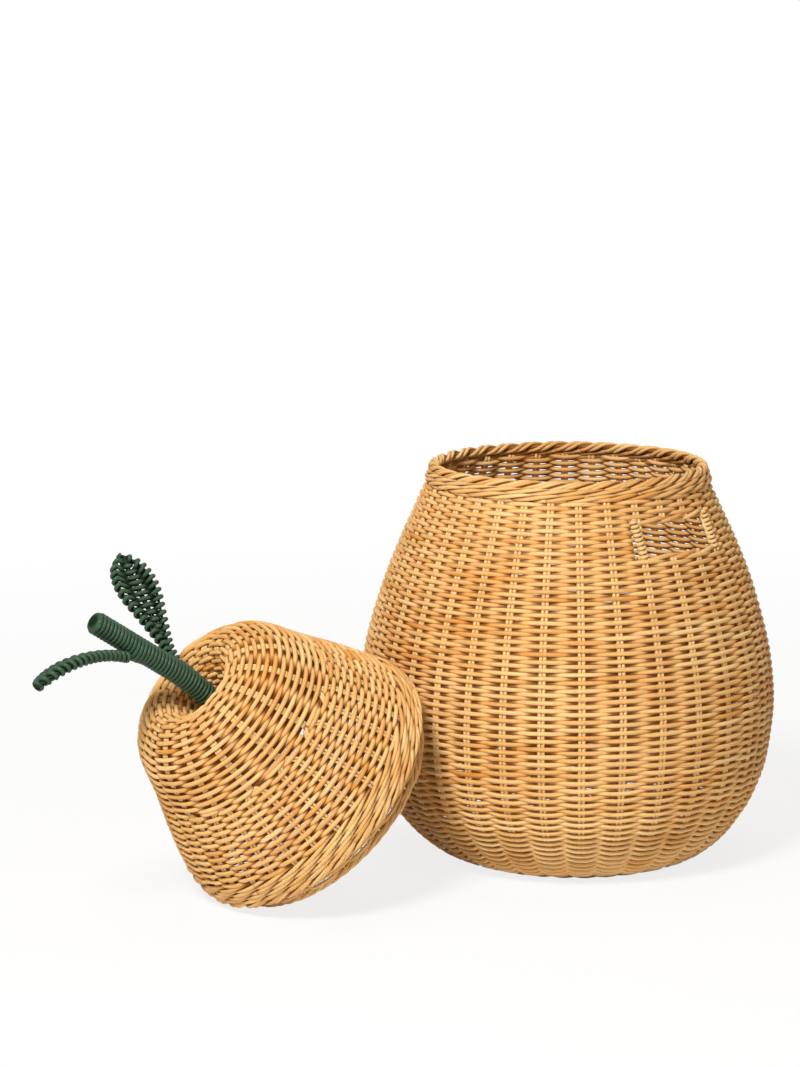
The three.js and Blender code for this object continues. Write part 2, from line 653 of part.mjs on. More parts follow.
// A leaf: its bent rim rod, two ribs and the woven web between them
function leaf({ name, rise, seatGap, curlDeg, along, across }) {
  const direction = new THREE.Vector3(...along).normalize();
  const width = new THREE.Vector3(...across);
  width.addScaledVector(direction, -width.dot(direction)).normalize();
  const face = direction.clone().cross(width);
  const { centre, along: stemAlong } = stemAt(dimpleHeight + rise);
  const outward = direction.clone().addScaledVector(stemAlong, -direction.dot(stemAlong)).normalize();
  const curl = THREE.MathUtils.degToRad(curlDeg);
  if (face.z < 0) face.negate();
  const heading = direction.clone().multiplyScalar(Math.cos(curl / 2)).addScaledVector(face, Math.sin(curl / 2));
  const slant = Math.sqrt(1 - heading.dot(outward) ** 2);
  const seat = STEM_CORE_RADIUS + GAP + WRAP_THICKNESS + seatGap + LEAF_ROD_RADIUS * slant;
  const start = centre.clone().addScaledVector(outward, seat);
  const placeAt = (share, offset, lift) => {
    const turn = curl / 2 - curl * share;
    const radius = LEAF_LENGTH / curl;
    const forward = radius * (Math.sin(curl / 2) - Math.sin(turn));
    const rise = radius * (Math.cos(turn) - Math.cos(curl / 2));
    const normal = face.clone().multiplyScalar(Math.cos(turn)).addScaledVector(direction, -Math.sin(turn));
    const point = start.clone().addScaledVector(direction, forward).addScaledVector(face, rise);
    return point.addScaledVector(width, offset).addScaledVector(normal, lift);
  };
  const halfWidth = (share) => LEAF_WIDTH / 2 * radiusAt(leafOutline, share);
  const places = leafOutline.filter((_, i) => i % 2 === 0).map(([, place]) => place);
  const edge = places.map((place) => placeAt(place, halfWidth(place) - LEAF_ROD_RADIUS, 0));
  const otherEdge = places.map((place) => placeAt(place, LEAF_ROD_RADIUS - halfWidth(place), 0));
  const rim = new THREE.CatmullRomCurve3([...edge, ...otherEdge.reverse()]);
  addPiece(lid, `${name}_rim`, rod(rim, LEAF_ROD_RADIUS, 2 * LEAF_STEPS, ROD_SIDES), DARK_GREEN, 0.6);
  const web = [];
  for (let i = 0; i <= LEAF_STEPS; i++) {
    const share = LEAF_WEB_START_SHARE + (LEAF_WEB_END_SHARE - LEAF_WEB_START_SHARE) * i / LEAF_STEPS;
    const half = halfWidth(share) - 2 * LEAF_ROD_RADIUS - 3 * GAP;
    const lift = LEAF_WEB_THICKNESS / 2;
    web.push([[half, -lift], [half, lift], [-half, lift], [-half, -lift]].map(([x, z]) => placeAt(share, x, z)));
  }
  addPiece(lid, `${name}_web`, skin(web), GREEN_CORD, 0.6);
  const ribLift = -LEAF_WEB_THICKNESS / 2 - GAP - LEAF_RIB_RADIUS;
  for (const [sideName, side] of [["left", 1], ["right", -1]]) {
    const route = [];
    for (let i = 0; i <= LEAF_STEPS; i++) {
      const share = LEAF_RIB_START_SHARE + (LEAF_RIB_END_SHARE - LEAF_RIB_START_SHARE) * i / LEAF_STEPS;
      const offset = Math.max(LEAF_RIB_SHARE * halfWidth(share), LEAF_RIB_RADIUS + GAP);
      route.push(placeAt(share, side * offset, ribLift));
    }
    const rib = rod(new THREE.CatmullRomCurve3(route), LEAF_RIB_RADIUS, LEAF_STEPS, ROD_SIDES);
    addPiece(lid, `${name}_rib_${sideName}`, rib, DARK_GREEN, 0.6);
  }
}

footBorder();
base();
wall();
posts();
mouth();
lidShell();
collar();
stem();
LEAVES.forEach(leaf);

// How far the wall lies in from its crests at a place round the basket
function furrowAt(angle, height) {
  const index = Array.from({ length: 2 * STAKE_PAIRS }, (_, i) => i / 2).findLast((i) => stakeAngle(i) <= angle);
  const share = (angle - stakeAngle(index)) / (stakeAngle(index + 0.5) - stakeAngle(index));
  return furrowDepth(height) * (index % 1 === 0 ? share : 1 - share);
}

// The lid stands on its collar's border and leans on the basket's ribs with a flat side of the
// collar's border or of its rim
const tilt = THREE.MathUtils.degToRad(LEAN_TILT_DEG);
const leanTurn = THREE.MathUtils.degToRad(LEAN_TURN_DEG);
lid.rotation.x = tilt;
const restHeight = collarCentre * Math.sin(tilt) + collarDepth * Math.cos(tilt) + COLLAR_ROLL_RADIUS;
const touching = [
  [collarCentre, -collarDepth, COLLAR_ROLL_RADIUS],
  [lidRadius - LID_ROLL_RADIUS, LID_ROLL_RADIUS, LID_ROLL_RADIUS],
];
const leanDistance = Math.max(...touching.flatMap(([radius, height, rollRadius]) => {
  const flat = rollRadius * Math.cos(TURN / 2 / ROLL_SIDES);
  const clearWall = inset(wallOuter, -flat - GAP);
  return Array.from({ length: LEAN_STEPS }, (_, i) => {
    const round = LEAN_REACH * (2 * i / (LEAN_STEPS - 1) - 1);
    const aside = radius * Math.sin(round);
    const level = restHeight + radius * Math.cos(round) * Math.sin(tilt) + height * Math.cos(tilt);
    const reach = radius * Math.cos(round) * Math.cos(tilt) - height * Math.sin(tilt);
    const crest = radiusAt(clearWall, level);
    const place = 3 / 4 * TURN + leanTurn + Math.asin(aside / crest);
    return Math.sqrt((crest - furrowAt(place, level)) ** 2 - aside ** 2) + reach;
  });
}));
console.log(`lid leans ${leanDistance.toFixed(3)} mm from the axis, ${restHeight.toFixed(3)} mm high`);
lid.position.set(0, -leanDistance, restHeight);
const lean = new THREE.Group();
lean.rotation.z = leanTurn;
lean.add(lid);

const part = new THREE.Group();
part.add(basket, lean);
export default part;
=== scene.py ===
"""Woven rattan storage basket in the shape of a pear, with its lid taken off.

Every strand is laid along the route that a weaver gives it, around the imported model's solids.
Sizes are metres, +Z is up, and the basket's axis stands on the origin.
"""
from math import cos, floor, pi, radians, sin

import bpy
import numpy as np
from mathutils import Matrix, Vector


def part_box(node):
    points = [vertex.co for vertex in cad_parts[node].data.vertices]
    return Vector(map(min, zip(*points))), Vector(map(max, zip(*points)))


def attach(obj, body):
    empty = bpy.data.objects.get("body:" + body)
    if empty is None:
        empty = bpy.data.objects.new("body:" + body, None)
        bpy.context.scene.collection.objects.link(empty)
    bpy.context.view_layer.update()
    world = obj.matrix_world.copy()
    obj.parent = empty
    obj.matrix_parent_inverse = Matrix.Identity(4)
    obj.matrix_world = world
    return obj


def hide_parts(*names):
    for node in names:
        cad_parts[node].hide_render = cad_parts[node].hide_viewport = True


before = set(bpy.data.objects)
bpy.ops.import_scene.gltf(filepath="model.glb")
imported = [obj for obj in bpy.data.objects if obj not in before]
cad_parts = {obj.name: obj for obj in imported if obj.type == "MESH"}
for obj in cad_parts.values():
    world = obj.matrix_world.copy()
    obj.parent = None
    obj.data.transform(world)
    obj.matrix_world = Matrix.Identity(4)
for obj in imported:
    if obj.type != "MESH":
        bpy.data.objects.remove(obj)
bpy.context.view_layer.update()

bl_info = {
    "name": "Woven rattan basket",
    "version": (1, 0, 0),
    "blender": (4, 5, 0),
    "location": "View3D > Sidebar > Basket",
    "description": "Lays the strands of a pear-shaped rattan basket, its lid and its leaves",
    "category": "Object",
}

TURN = 2 * pi
MM = 0.001
SEED = 7

# Basket: outline of the wall's outside. Up to the belly a radius is a share of the belly's; over it,
# a share of the way from the mouth's to the belly's. Heights are shares of the body's.
BODY_HEIGHT = 384 * MM
BELLY_RADIUS = 200 * MM
MOUTH_RADIUS = 134 * MM
WALL_LOWER_SHARES = [
    (0.560, 0.008), (0.655, 0.026), (0.755, 0.068), (0.835, 0.117), (0.906, 0.172), (0.970, 0.260),
    (1.000, 0.380),
]
WALL_UPPER_SHARES = [
    (0.970, 0.490), (0.867, 0.583), (0.703, 0.682), (0.476, 0.784), (0.212, 0.885), (-0.018, 0.974),
]

# Pairs of stakes in the wall and in the lid's side, those cut at the hand holes, and the bundles into
# which the lid's are gathered on its crown
STAKE_PAIRS = 32
CUT_PAIRS = (0, 15, 16, 31)
CROWN_BUNDLES = 16

# Side to which the foot stands out of line with the mouth
FOOT_SIDE = radians(48)

# Length along the wall under which rows sag between stakes, and under which they swing deeper
SAG_REACH = 165 * MM
DEEP_REACH = 90 * MM

# Heights at which the wall changes its pieces
FOOT_BAND_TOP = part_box("wall_foot")[1].z
BELLY_BAND_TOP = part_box("wall_belly")[1].z
HOLE_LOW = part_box("wall_shoulder")[1].z
HOLE_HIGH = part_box("wall_upper")[0].z
WALE_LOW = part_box("mouth_wale")[0].z

# Distance of a post from the middle of its hand hole
POST_OFFSET = (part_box("handle_post_right_back")[0].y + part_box("handle_post_right_back")[1].y) / 2

# Twisted rings: how far their strands wind across and up, and their radius. A rope has its core's
# radius too, and the angle between the two strands of a pair
MOUTH_WALING = (2.7 * MM, 2.2 * MM, 1.9 * MM)
FOOT_WALING = (2.7 * MM, 2.2 * MM, 2.1 * MM)
RIM_WALING = (3.1 * MM, 2.3 * MM, 1.95 * MM)
CORNER_WALING = (2.0 * MM, 2.0 * MM, 1.9 * MM)
MOUTH_ROPE = (3.7 * MM, 3.5 * MM, 1.8 * MM, 2.3 * MM, 0.50)
RIM_ROPE = (3.8 * MM, 3.7 * MM, 1.9 * MM, 2.4 * MM, 0.48)

# Space between the rows and a hand hole, how far its posts go on into the rows, the posts' radius, how
# far they stand out and the points along them, and the loops of the cane bound round them
HOLE_MARGIN = 2 * MM
POST_OVERLAP = 3 * MM
POST_STICK_RADIUS = 1.2 * MM
POST_OUT = 1.2 * MM
POST_POINTS = 12
BINDING_LOOPS = 9

# How far the middle of a border's rope lies inside the piece's radius and over its lower side
FOOT_INSET = 4.6 * MM
RIM_INSET = 5.4 * MM

# Base: sticks that cross as many others, half the width of the crossing, their spacing in it, their
# radius and how far they lie over or under the rest, and the share of its radius that has a knot
BASE_STICKS = 8
BASE_CROSSING = 26 * MM
BASE_STICK_PITCH = 3.1 * MM
BASE_STICK_RADIUS = 1.5 * MM
BASE_STICK_LIFT = 1.6 * MM
BASE_KNOT = 0.6

# Lid: outline of its outside, radius as a share of the lid's and height as a share of the lid's
LID_RADIUS = 137 * MM
LID_HEIGHT = 168 * MM
LID_OUTLINE_SHARES = [
    (1.000, 0.000), (0.975, 0.143), (0.901, 0.327), (0.757, 0.598), (0.606, 0.875), (0.350, 1.000),
    (0.190, 0.905), (0.125, 0.762),
]
DIMPLE_HEIGHT = LID_OUTLINE_SHARES[-1][1] * LID_HEIGHT

# Heights over the lid's rim of its lowest row, of the parting between side and crown, of its waling's
# rows and of the collar, and the radii of the collar and of its border
LID_SIDE_LOW = 27.0 * MM
LID_PARTING = 104 * MM
RIM_WALE_HEIGHTS = (10.8 * MM, 15.4 * MM, 20.0 * MM, 24.6 * MM)
COLLAR_RADIUS = 120.5 * MM
COLLAR_LOW = -21 * MM
COLLAR_HIGH = 37 * MM
COLLAR_BORDER_RADIUS = 117.4 * MM
COLLAR_BORDER_HEIGHT = -17.9 * MM

# Place of the lid where it leans: its tilt, its side and the middle of its rim
LEAN_TILT = radians(47.8)
LEAN_TURN = radians(-9)
LEAN_DISTANCE = 292.986 * MM
LEAN_HEIGHT = 102.594 * MM
LID_PLACE = (
    Matrix.Rotation(LEAN_TURN, 4, "Z")
    @ Matrix.Translation((0, -LEAN_DISTANCE, LEAN_HEIGHT))
    @ Matrix.Rotation(LEAN_TILT, 4, "X")
)

# Stem: its centre line, in the lid's own frame
STEM_CORE_RADIUS = 7.5 * MM
STEM_FOOT = DIMPLE_HEIGHT - 28 * MM
STEM_STRAIGHT_END = DIMPLE_HEIGHT + 27 * MM
STEM_BEND_RADIUS = 250 * MM
STEM_BEND = radians(9)
STEM_END = STEM_STRAIGHT_END + STEM_BEND_RADIUS * STEM_BEND + 94.5 * MM

# Disc on the stem's end: places under the end and radii there, in mm
STEM_DISC = ((5.0, 9.0), (4.0, 9.7), (2.2, 9.6), (1.0, 8.8), (0.3, 7.1), (0.0, 4.6))
STEM_ROD_RADIUS = 6.6 * MM
PEG_LENGTH = 30 * MM
PEG_RADIUS = 3 * MM

# How far the cord round the stem is lifted over a leaf's root, how far under it and over what length
ROOT_LIFT = 2.8 * MM
ROOT_UNDER = 5 * MM
ROOT_REACH = 8 * MM

# Leaves: rise of the root along the stem, gap to the cord there, curl and roll from root to tip,
# direction and direction of the width, in the lid's own frame
LEAF_LENGTH = 122 * MM
LEAF_WIDTH = 44 * MM
LEAF_SEAT = 10.8 * MM
LEAF_ROD_RADIUS = 2.2 * MM
LEAF_OUTLINE_SHARES = [
    (0.22, 0.00), (0.32, 0.15), (0.62, 0.38), (0.93, 0.60), (1.00, 0.74), (0.86, 0.87), (0.52, 0.96),
    (0.14, 1.00),
]
LEAVES = [
    dict(name="leaf_upper", rise=61 * MM, gap=0.6 * MM, curl=radians(4), roll=0.0,
         along=(-0.674, 0.487, 0.556), across=(0.006, 0.732, -0.681)),
    dict(name="leaf_lower", rise=112 * MM, gap=-0.2 * MM, curl=radians(46), roll=radians(-20),
         along=(0.272, -0.708, 0.651), across=(-0.983, -0.184, 0.012)),
]

# Heart of the basket and of the lid, to which their insides face, and how much painted shade the side facing
# it gets
BASKET_HEART = (0, 0, 190 * MM)
LID_HEART = (0, 0, 60 * MM)
INNER_PAINTED_SHADE = 0.50

# Finishes: pale tone, deep tone and painted shade, each as a colour of the scene and a factor, then
# roughness, fineness of the grain, its depth in mm, the depths between which painted shade deepens, and the
# coat's shine
# Colour of the painted shade between strands and on the inside
PAINTED_SHADE = ("cane_nook", 1.0)
CANE = (("cane_pale", 1.0), ("cane_deep", 1.0), PAINTED_SHADE)
FINISHES = {
    "honey_cane": (CANE, 0.38, 900, 0.25, (0.50, 0.90), 0.30),
    # On the lid the painted shade starts nearer the surface, so it covers more of the strands
    "lid_cane": (CANE, 0.38, 900, 0.25, (0.30, 0.74), 0.30),
    "border_cane": ((("cane_pale", 0.95), ("cane_deep", 1.0), PAINTED_SHADE), 0.38, 900, 0.25, (0.20, 0.60), 0.30),
    "peeled_stake": ((("stake", 1.0), ("stake", 0.84), PAINTED_SHADE), 0.50, 900, 0.20, (0.50, 0.95), 0.30),
    "lid_stake": ((("stake", 0.96), ("stake", 0.78), PAINTED_SHADE), 0.50, 900, 0.20, (0.30, 0.74), 0.30),
    "bound_cane": ((("cane_pale", 1.0), ("cane_pale", 0.80), PAINTED_SHADE), 0.45, 900, 0.20, (0.16, 0.50), 0.30),
    # The cord's third tone is painted shade in the grooves between its loops
    "wound_cord": ((("cord", 1.15), ("cord", 0.85), ("cord", 0.25)), 0.36, 1400, 0.15, (0.12, 0.50), 0.32),
    "dark_rod": ((("cord", 0.5), ("cord", 0.4), ("cord", 0.2)), 0.6, 1200, 0.20, (0.3, 0.9), 0.30),
}

# Camera: its place, the side that it looks from, how far it looks down and its lens
CAMERA_PLACE = (2.5675, -2.5286, 0.9286)
CAMERA_SIDE = radians(48)
CAMERA_DOWN = radians(9.7)
CAMERA_LENS = 128.15

# Lamps: name, place, size and power. They face one point. The light from the world is a little warm
LAMPS = (
    ("key", (1.45, -2.95, 3.2), 1.0, 178),
    ("fill", (3.3, -0.4, 1.2), 2.6, 3),
    ("top", (-0.6, 0.6, 3.3), 2.6, 24),
)
LAMP_AIM = Vector((0, -0.15, 0.15))
WORLD_COLOUR = (1, 0.86, 0.66, 1)
WORLD_STRENGTH = 0.20
WHITE = (1, 1, 1, 1)


class Shade:
    """A socket of a material's node tree, on which sums are written as Python."""

    def __init__(self, tree, socket):
        self.tree = tree
        self.socket = socket

    def combined(self, operation, other):
        """This socket and another, or a number, through a Math node."""
        return node(self.tree, "ShaderNodeMath", {"operation": operation}, {0: self, 1: other})

    def __add__(self, other):
        return self.combined("ADD", other)

    def __mul__(self, other):
        return self.combined("MULTIPLY", other)


def node(tree, kind, settings=None, inputs=None, output=0):
    """A node with its settings and the values or links of its sockets, as the Shade of one output."""
    made = tree.nodes.new(kind)
    for name, value in (settings or {}).items():
        if name == "stops":
            ramp = made.color_ramp.elements
            while len(ramp) < len(value):
                ramp.new(0.5)
            for element, (place, colour) in zip(ramp, value):
                element.position = place
                element.color = colour
        else:
            setattr(made, name, value)
    for name, value in (inputs or {}).items():
        if isinstance(value, Shade):
            tree.links.new(value.socket, made.inputs[name])
        else:
            made.inputs[name].default_value = value
    return Shade(tree, made.outputs[output]) if len(made.outputs) else None


def mix(tree, factor, first, second, blend="MIX"):
    """Two colours mixed by a factor."""
    settings = {"data_type": "RGBA", "blend_type": blend}
    return node(tree, "ShaderNodeMix", settings, {0: factor, 6: first, 7: second}, output=2)


def ranged(tree, value, low, high, first, last):
    """A value from low to high taken to one from first to last."""
    return node(tree, "ShaderNodeMapRange", None, {0: value, 1: low, 2: high, 3: first, 4: last})


def tinted(colour, factor):
    """A colour made lighter or darker."""
    return tuple(min(channel * factor, 1.0) for channel in colour[:3]) + (1.0,)


def strand_finish(name, pale, deep, nook, roughness, grain, grain_depth, shade, shine):
    """Cane or cord: each length has its own tone, with fibres along it, slow patches over the piece and
    painted shade where strands cross and on the inner side, which comes in between the two depths of
    shade. The shine is a coat that fades where the shade is painted, so the painted shade dims its sheen too."""
    finish = bpy.data.materials.new(name)
    finish.use_nodes = True
    tree = finish.node_tree
    tree.nodes.clear()
    fibre = node(tree, "ShaderNodeAttribute", {"attribute_name": "fibre"}, output=1)
    # How much painted shade each point gets
    depth = node(tree, "ShaderNodeAttribute", {"attribute_name": "nook"}, output=2)
    place = node(tree, "ShaderNodeTexCoord", output=3)

    def noise(vector, scale, detail, stretch=(1, 1, 1)):
        laid = node(tree, "ShaderNodeMapping", None, {"Vector": vector, "Scale": stretch})
        inputs = {"Vector": laid, "Scale": scale, "Detail": detail}
        return node(tree, "ShaderNodeTexNoise", None, inputs)

    tone = noise(fibre, 4.0, 2.0)
    patch = noise(place, 11.0, 3.0)
    streak = noise(fibre, 1.0, 4.0, (25, grain, grain))
    speck = noise(fibre, 1.0, 2.0, (160, 220, 220))
    base = node(tree, "ShaderNodeValToRGB", {"stops": [
        (0.33, deep), (0.49, tuple(a * 0.6 + b * 0.4 for a, b in zip(pale, deep))), (0.62, pale),
    ]}, {0: tone * 0.7 + patch * 0.3})
    flecked = mix(tree, ranged(tree, speck, 0.60, 0.80, 0.0, 0.40), base, tinted(deep, 0.8))
    streaked = ranged(tree, streak, 0.25, 0.75, 0.78, 1.13)
    lit = node(tree, "ShaderNodeCombineColor", None, {0: streaked, 1: streaked, 2: streaked})
    fibrous = mix(tree, 1.0, flecked, lit, "MULTIPLY")
    # Painted shade: the colour goes toward the shade colour between strands and on the inside
    colour = mix(tree, ranged(tree, depth, *shade, 0.0, 0.95), fibrous, nook)
    rough = ranged(tree, streak, 0.2, 0.8, roughness - 0.07, roughness + 0.07)
    bump = node(tree, "ShaderNodeBump", None, {"Strength": 0.55, "Distance": grain_depth, "Height": streak})
    # The coat fades where the shade is painted, which dims the sheen there as painted shade
    coat = ranged(tree, depth, 0.1, shade[1], shine, 0.0)
    surface = node(tree, "ShaderNodeBsdfPrincipled", None, {
        "Base Color": colour, "Roughness": rough, "Normal": bump, "Specular IOR Level": 0.0,
        "Coat Weight": coat, "Coat Roughness": roughness - 0.04,
    })
    node(tree, "ShaderNodeOutputMaterial", None, {"Surface": surface})
    return finish


def finish_of(name):
    """The material of a name, made from the scene's colours when it is first asked for."""
    made = bpy.data.materials.get(name)
    if made:
        return made
    colours = bpy.context.scene.basket_finish
    tones, roughness, grain, grain_depth, shade, shine = FINISHES[name]
    tones = [tinted(getattr(colours, tone), factor) for tone, factor in tones]
    return strand_finish(name, *tones, roughness, grain, grain_depth * MM, shade, shine)


def smooth_curve(knots, steps):
    """Points of a smooth curve through knots."""
    knots = np.asarray(knots, float)
    ends = np.vstack([2 * knots[0] - knots[1], knots, 2 * knots[-1] - knots[-2]])
    t = np.linspace(0, 1, steps, endpoint=False)[:, None]
    points = []
    for a, b, c, d in zip(ends, ends[1:], ends[2:], ends[3:]):
        points.append(b + 0.5 * t * (c - a + t * (2 * a - 5 * b + 4 * c - d + t * (3 * (b - c) + d - a))))
    points.append(knots[-1:])
    return np.vstack(points)


def unit(vectors):
    """Vectors made one long."""
    vectors = np.asarray(vectors, float)
    return vectors / np.linalg.norm(vectors, axis=-1, keepdims=True)


class Outline:
    """A smooth outline of radius and height, moved inwards, measured by the length along it."""

    def __init__(self, knots, depth):
        points = smooth_curve(knots, 24)
        step = unit(np.gradient(points, axis=0))
        self.out = np.column_stack([step[:, 1], -step[:, 0]])
        self.points = points - depth * self.out
        run = np.linalg.norm(np.diff(self.points, axis=0), axis=1)
        self.length = np.concatenate([[0], np.cumsum(run)])

    def at(self, along, out=0.0):
        """Radius and height at lengths along the outline, moved out from it."""
        radius, height = (np.interp(along, self.length, self.points[:, i]) for i in (0, 1))
        out_radius, out_height = (np.interp(along, self.length, self.out[:, i]) for i in (0, 1))
        return radius + out * out_radius, height + out * out_height

    def along_height(self, height):
        """Length along the outline at a height on its rising run."""
        top = int(np.argmax(self.points[:, 1])) + 1
        return float(np.interp(height, self.points[:top, 1], self.length[:top]))

    def route(self, angle, along, out=0.0):
        """Points round the axis."""
        radius, height = self.at(along, out)
        return np.column_stack([radius * np.cos(angle), radius * np.sin(angle), height])


def sway(seed, count, angle, along, reach):
    """A slow wave over a round surface, between -1 and 1, the same each run."""
    draw = np.random.default_rng(seed)
    total = 0
    for _ in range(count):
        waves = draw.integers(1, 8)
        climb, start = draw.uniform(-1, 1) * TURN / reach, draw.uniform(0, TURN)
        total = total + np.sin(waves * angle + climb * along + start)
    return total / count


def moved(points, place):
    """Points taken through a place, or left where they are."""
    points = np.asarray(points, float)
    return points if place is None else points @ np.array(place)[:3, :3].T + np.array(place)[:3, 3]


def lay(name, strands, finish, body, nodes=(), sides=8, place=None, heart=None):
    """One piece of strands, each with its route, its radius and the middle line that it winds about.
    Each is a bevelled curve, made a mesh with closed ends. Its points carry the fibre's own
    coordinates, and how much painted shade they get, more the deeper they lie between strands. The side
    that faces the heart of a basket or lid gets painted shade too, and so less coat."""
    bpy.ops.object.select_all(action="DESELECT")
    bpy.ops.object.add(type="CURVE", location=(0, 0, 0))
    piece = bpy.context.object
    piece.name = piece.data.name = name
    curve = piece.data
    curve.dimensions = "3D"
    curve.bevel_depth = 1.0
    curve.bevel_resolution = (sides - 4) // 2
    draw = np.random.default_rng(SEED)
    around = TURN * np.arange(sides) / sides
    lengths, reaches, middles = [], [], []
    for route, radius, middle in strands:
        route, middle = moved(route, place), moved(middle, place)
        radius = np.broadcast_to(radius, len(route)).astype(np.float32)
        spline = curve.splines.new("POLY")
        spline.points.add(len(route) - 1)
        spline.points.foreach_set("co", np.column_stack([route, np.ones(len(route))]).ravel())
        spline.points.foreach_set("radius", radius)
        run = np.concatenate([[0], np.cumsum(np.linalg.norm(np.diff(route, axis=0), axis=1))])
        lengths.append(run + draw.uniform(0, 50))
        reaches.append(radius)
        middles.append(middle)
    bpy.ops.object.convert(target="MESH")
    mesh = bpy.context.object.data
    mesh.name = name
    length, reach, middle = np.concatenate(lengths), np.concatenate(reaches), np.concatenate(middles)
    fibre = np.empty((len(length), sides, 3), np.float32)
    fibre[:, :, 0] = length[:, None]
    fibre[:, :, 1] = reach[:, None] * np.cos(around)
    fibre[:, :, 2] = reach[:, None] * np.sin(around)
    mesh.attributes.new("fibre", "FLOAT_VECTOR", "POINT").data.foreach_set("vector", fibre.ravel())
    corners = np.empty(len(mesh.vertices) * 3, np.float32)
    mesh.vertices.foreach_get("co", corners)
    away = corners.reshape(len(length), sides, 3) - middle[:, None]
    clear = np.linalg.norm(away, axis=2)
    # Painted shade: points near the weave's middle, deep between strands, get a darker colour
    nook = np.clip(1 - clear / np.quantile(clear, 0.98), 0, 1)
    # Painted shade on the side that faces the heart
    if heart:
        inward = unit(moved([heart], place) - middle)
        inner = np.clip(np.einsum("psi,pi->ps", away, inward) / (2 * MM), 0, 1)
        nook = np.maximum(nook, INNER_PAINTED_SHADE * inner)
    nook = nook.astype(np.float32)
    mesh.attributes.new("nook", "FLOAT", "POINT").data.foreach_set("value", nook.ravel())
    bpy.ops.object.mode_set(mode="EDIT")
    bpy.ops.mesh.select_all(action="SELECT")
    bpy.ops.mesh.fill_holes(sides=sides)
    bpy.ops.object.mode_set(mode="OBJECT")
    bpy.ops.object.shade_smooth()
    return settle(bpy.context.object, finish, body, nodes)


def lay_on_lid(name, strands, finish, nodes=(), sides=8, heart=None):
    """One piece of strands in the lid's own frame."""
    return lay(name, strands, finish, "lid", nodes, sides, LID_PLACE, heart)


def settle(piece, finish, body, nodes=()):
    """Gives a piece its finish, its body and what it stands for."""
    piece.data.materials.clear()
    piece.data.materials.append(finish_of(finish))
    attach(piece, body)
    if nodes:
        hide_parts(*nodes)
    return piece


def stake_angle(index):
    """Place round the basket of a stake pair: wider apart by the hand holes, as the weaver left them."""
    even = TURN / STAKE_PAIRS * (np.asarray(index, float) + 0.5)
    return even + radians(2.4) * np.sin(2 * even) - radians(2.2) * np.sin(even)


def lid_stake_angle(index):
    """Place round the lid of a stake pair, evenly spaced."""
    return TURN / STAKE_PAIRS * (np.asarray(index, float) + 0.5)


def crown_stake_angle(index):
    """Place round the crown of a bundle of four stakes."""
    return TURN / CROWN_BUNDLES * (np.asarray(index, float) + 0.5)


def leaned(strands):
    """Strands of the basket, whose foot stands a little to one side of its mouth."""
    sizes = bpy.context.scene.basket_sizes

    def shifted(route):
        route = np.array(route, float)
        low = np.clip(1 - route[:, 2] / sizes.lean_height, 0, 1) ** 2 * sizes.foot_shift
        route[:, 0] += low * cos(FOOT_SIDE)
        route[:, 1] += low * sin(FOOT_SIDE)
        return route

    return [(shifted(route), radius, shifted(middle)) for route, radius, middle in strands]


class Weave:
    """Rows of weft that pass in front of one stake and behind the next, in two strands that chase
    each other, and the stakes between them."""

    # How flat a row stays in front of a stake, how far out it runs between two, both as shares of its
    # swing, how far it strays as a share of the pitch, and how far the whole surface does
    FLATNESS = 0.45
    BETWEEN = 0.3
    STRAY = 0.16
    BULGE = 0.9 * MM

    def __init__(self, outline, angle_of, stakes, start, pitch, swing, radius, seed, deeper=0.0, sag=0.0):
        self.outline = outline
        self.angle_of = angle_of
        self.stakes = stakes
        self.start = start
        self.pitch = pitch
        self.swing = swing
        self.radius = radius
        self.seed = seed
        self.deeper = deeper
        self.sag = sag

    def drift(self, angle, along):
        """How far a row strays along the outline."""
        return self.STRAY * self.pitch * sway(self.seed, 5, angle, along, 60 * MM)

    def bulge(self, angle, along):
        """How far the whole surface strays outwards."""
        return self.BULGE * sway(self.seed + 1, 4, angle, along, 160 * MM)

    def weft(self, index, row, own=0.0):
        """Points of the weft at stake places, on a row counted from the start, and its middle line."""
        angle = self.angle_of(index)
        along = self.start + self.pitch * (row + 2 * index / self.stakes)
        wave = np.cos(pi * (index - row))
        swing = self.swing * (1 + self.deeper * np.clip(1 - along / DEEP_REACH, 0, 1))
        short = 1 - wave**2
        out = swing * (wave * (1 + self.FLATNESS * short) + self.BETWEEN * short)
        middle = self.outline.route(angle, along, self.bulge(angle, along))
        beside = index - np.round(index)
        low = np.clip(1 - along / SAG_REACH, 0, 1)
        stray = self.drift(angle, along) + own + self.sag * low * (4 * beside**2 - 0.33)
        return self.outline.route(angle, along + stray, out + self.bulge(angle, along)), middle

    def rows(self, low, high, steps=6):
        """Two long strands between two lengths along the outline."""
        strands = []
        draw = np.random.default_rng(self.seed)
        for first in (0, 1):
            start = ((low - self.start) / self.pitch - first) / 2 * self.stakes
            end = ((high - self.start) / self.pitch - first) / 2 * self.stakes
            index = np.linspace(start, end, int((end - start) * steps))
            own = 0.04 * self.pitch * np.sin(index * draw.uniform(0.5, 0.8) + draw.uniform(0, TURN))
            route, middle = self.weft(index, first, own)
            radius = self.radius * (1 + 0.05 * np.sin(index * 0.37 + draw.uniform(0, TURN)))
            strands.append((route, radius, middle))
        return strands

    def stake(self, index, low, high, offset, radius, push=1.0 * MM, turn_to=None):
        """A stake beside its neighbours, pushed out where a row passes behind it."""
        count = max(int((high - low) / self.pitch * 2) + 1, 2)
        along = np.linspace(low, high, count)
        angle = np.full(count, float(self.angle_of(index)))
        row = (along - self.start - self.drift(angle, along)) / self.pitch - 2 * index / self.stakes
        bulge = self.bulge(angle, along)
        out = bulge - push * np.cos(pi * (row - index))
        if turn_to is not None:
            angle = angle + turn_to(along)
        reach = np.maximum(self.outline.at(along)[0], 12 * MM)
        angle = angle + offset / reach
        return self.outline.route(angle, along, out), radius, self.outline.route(angle, along, bulge)


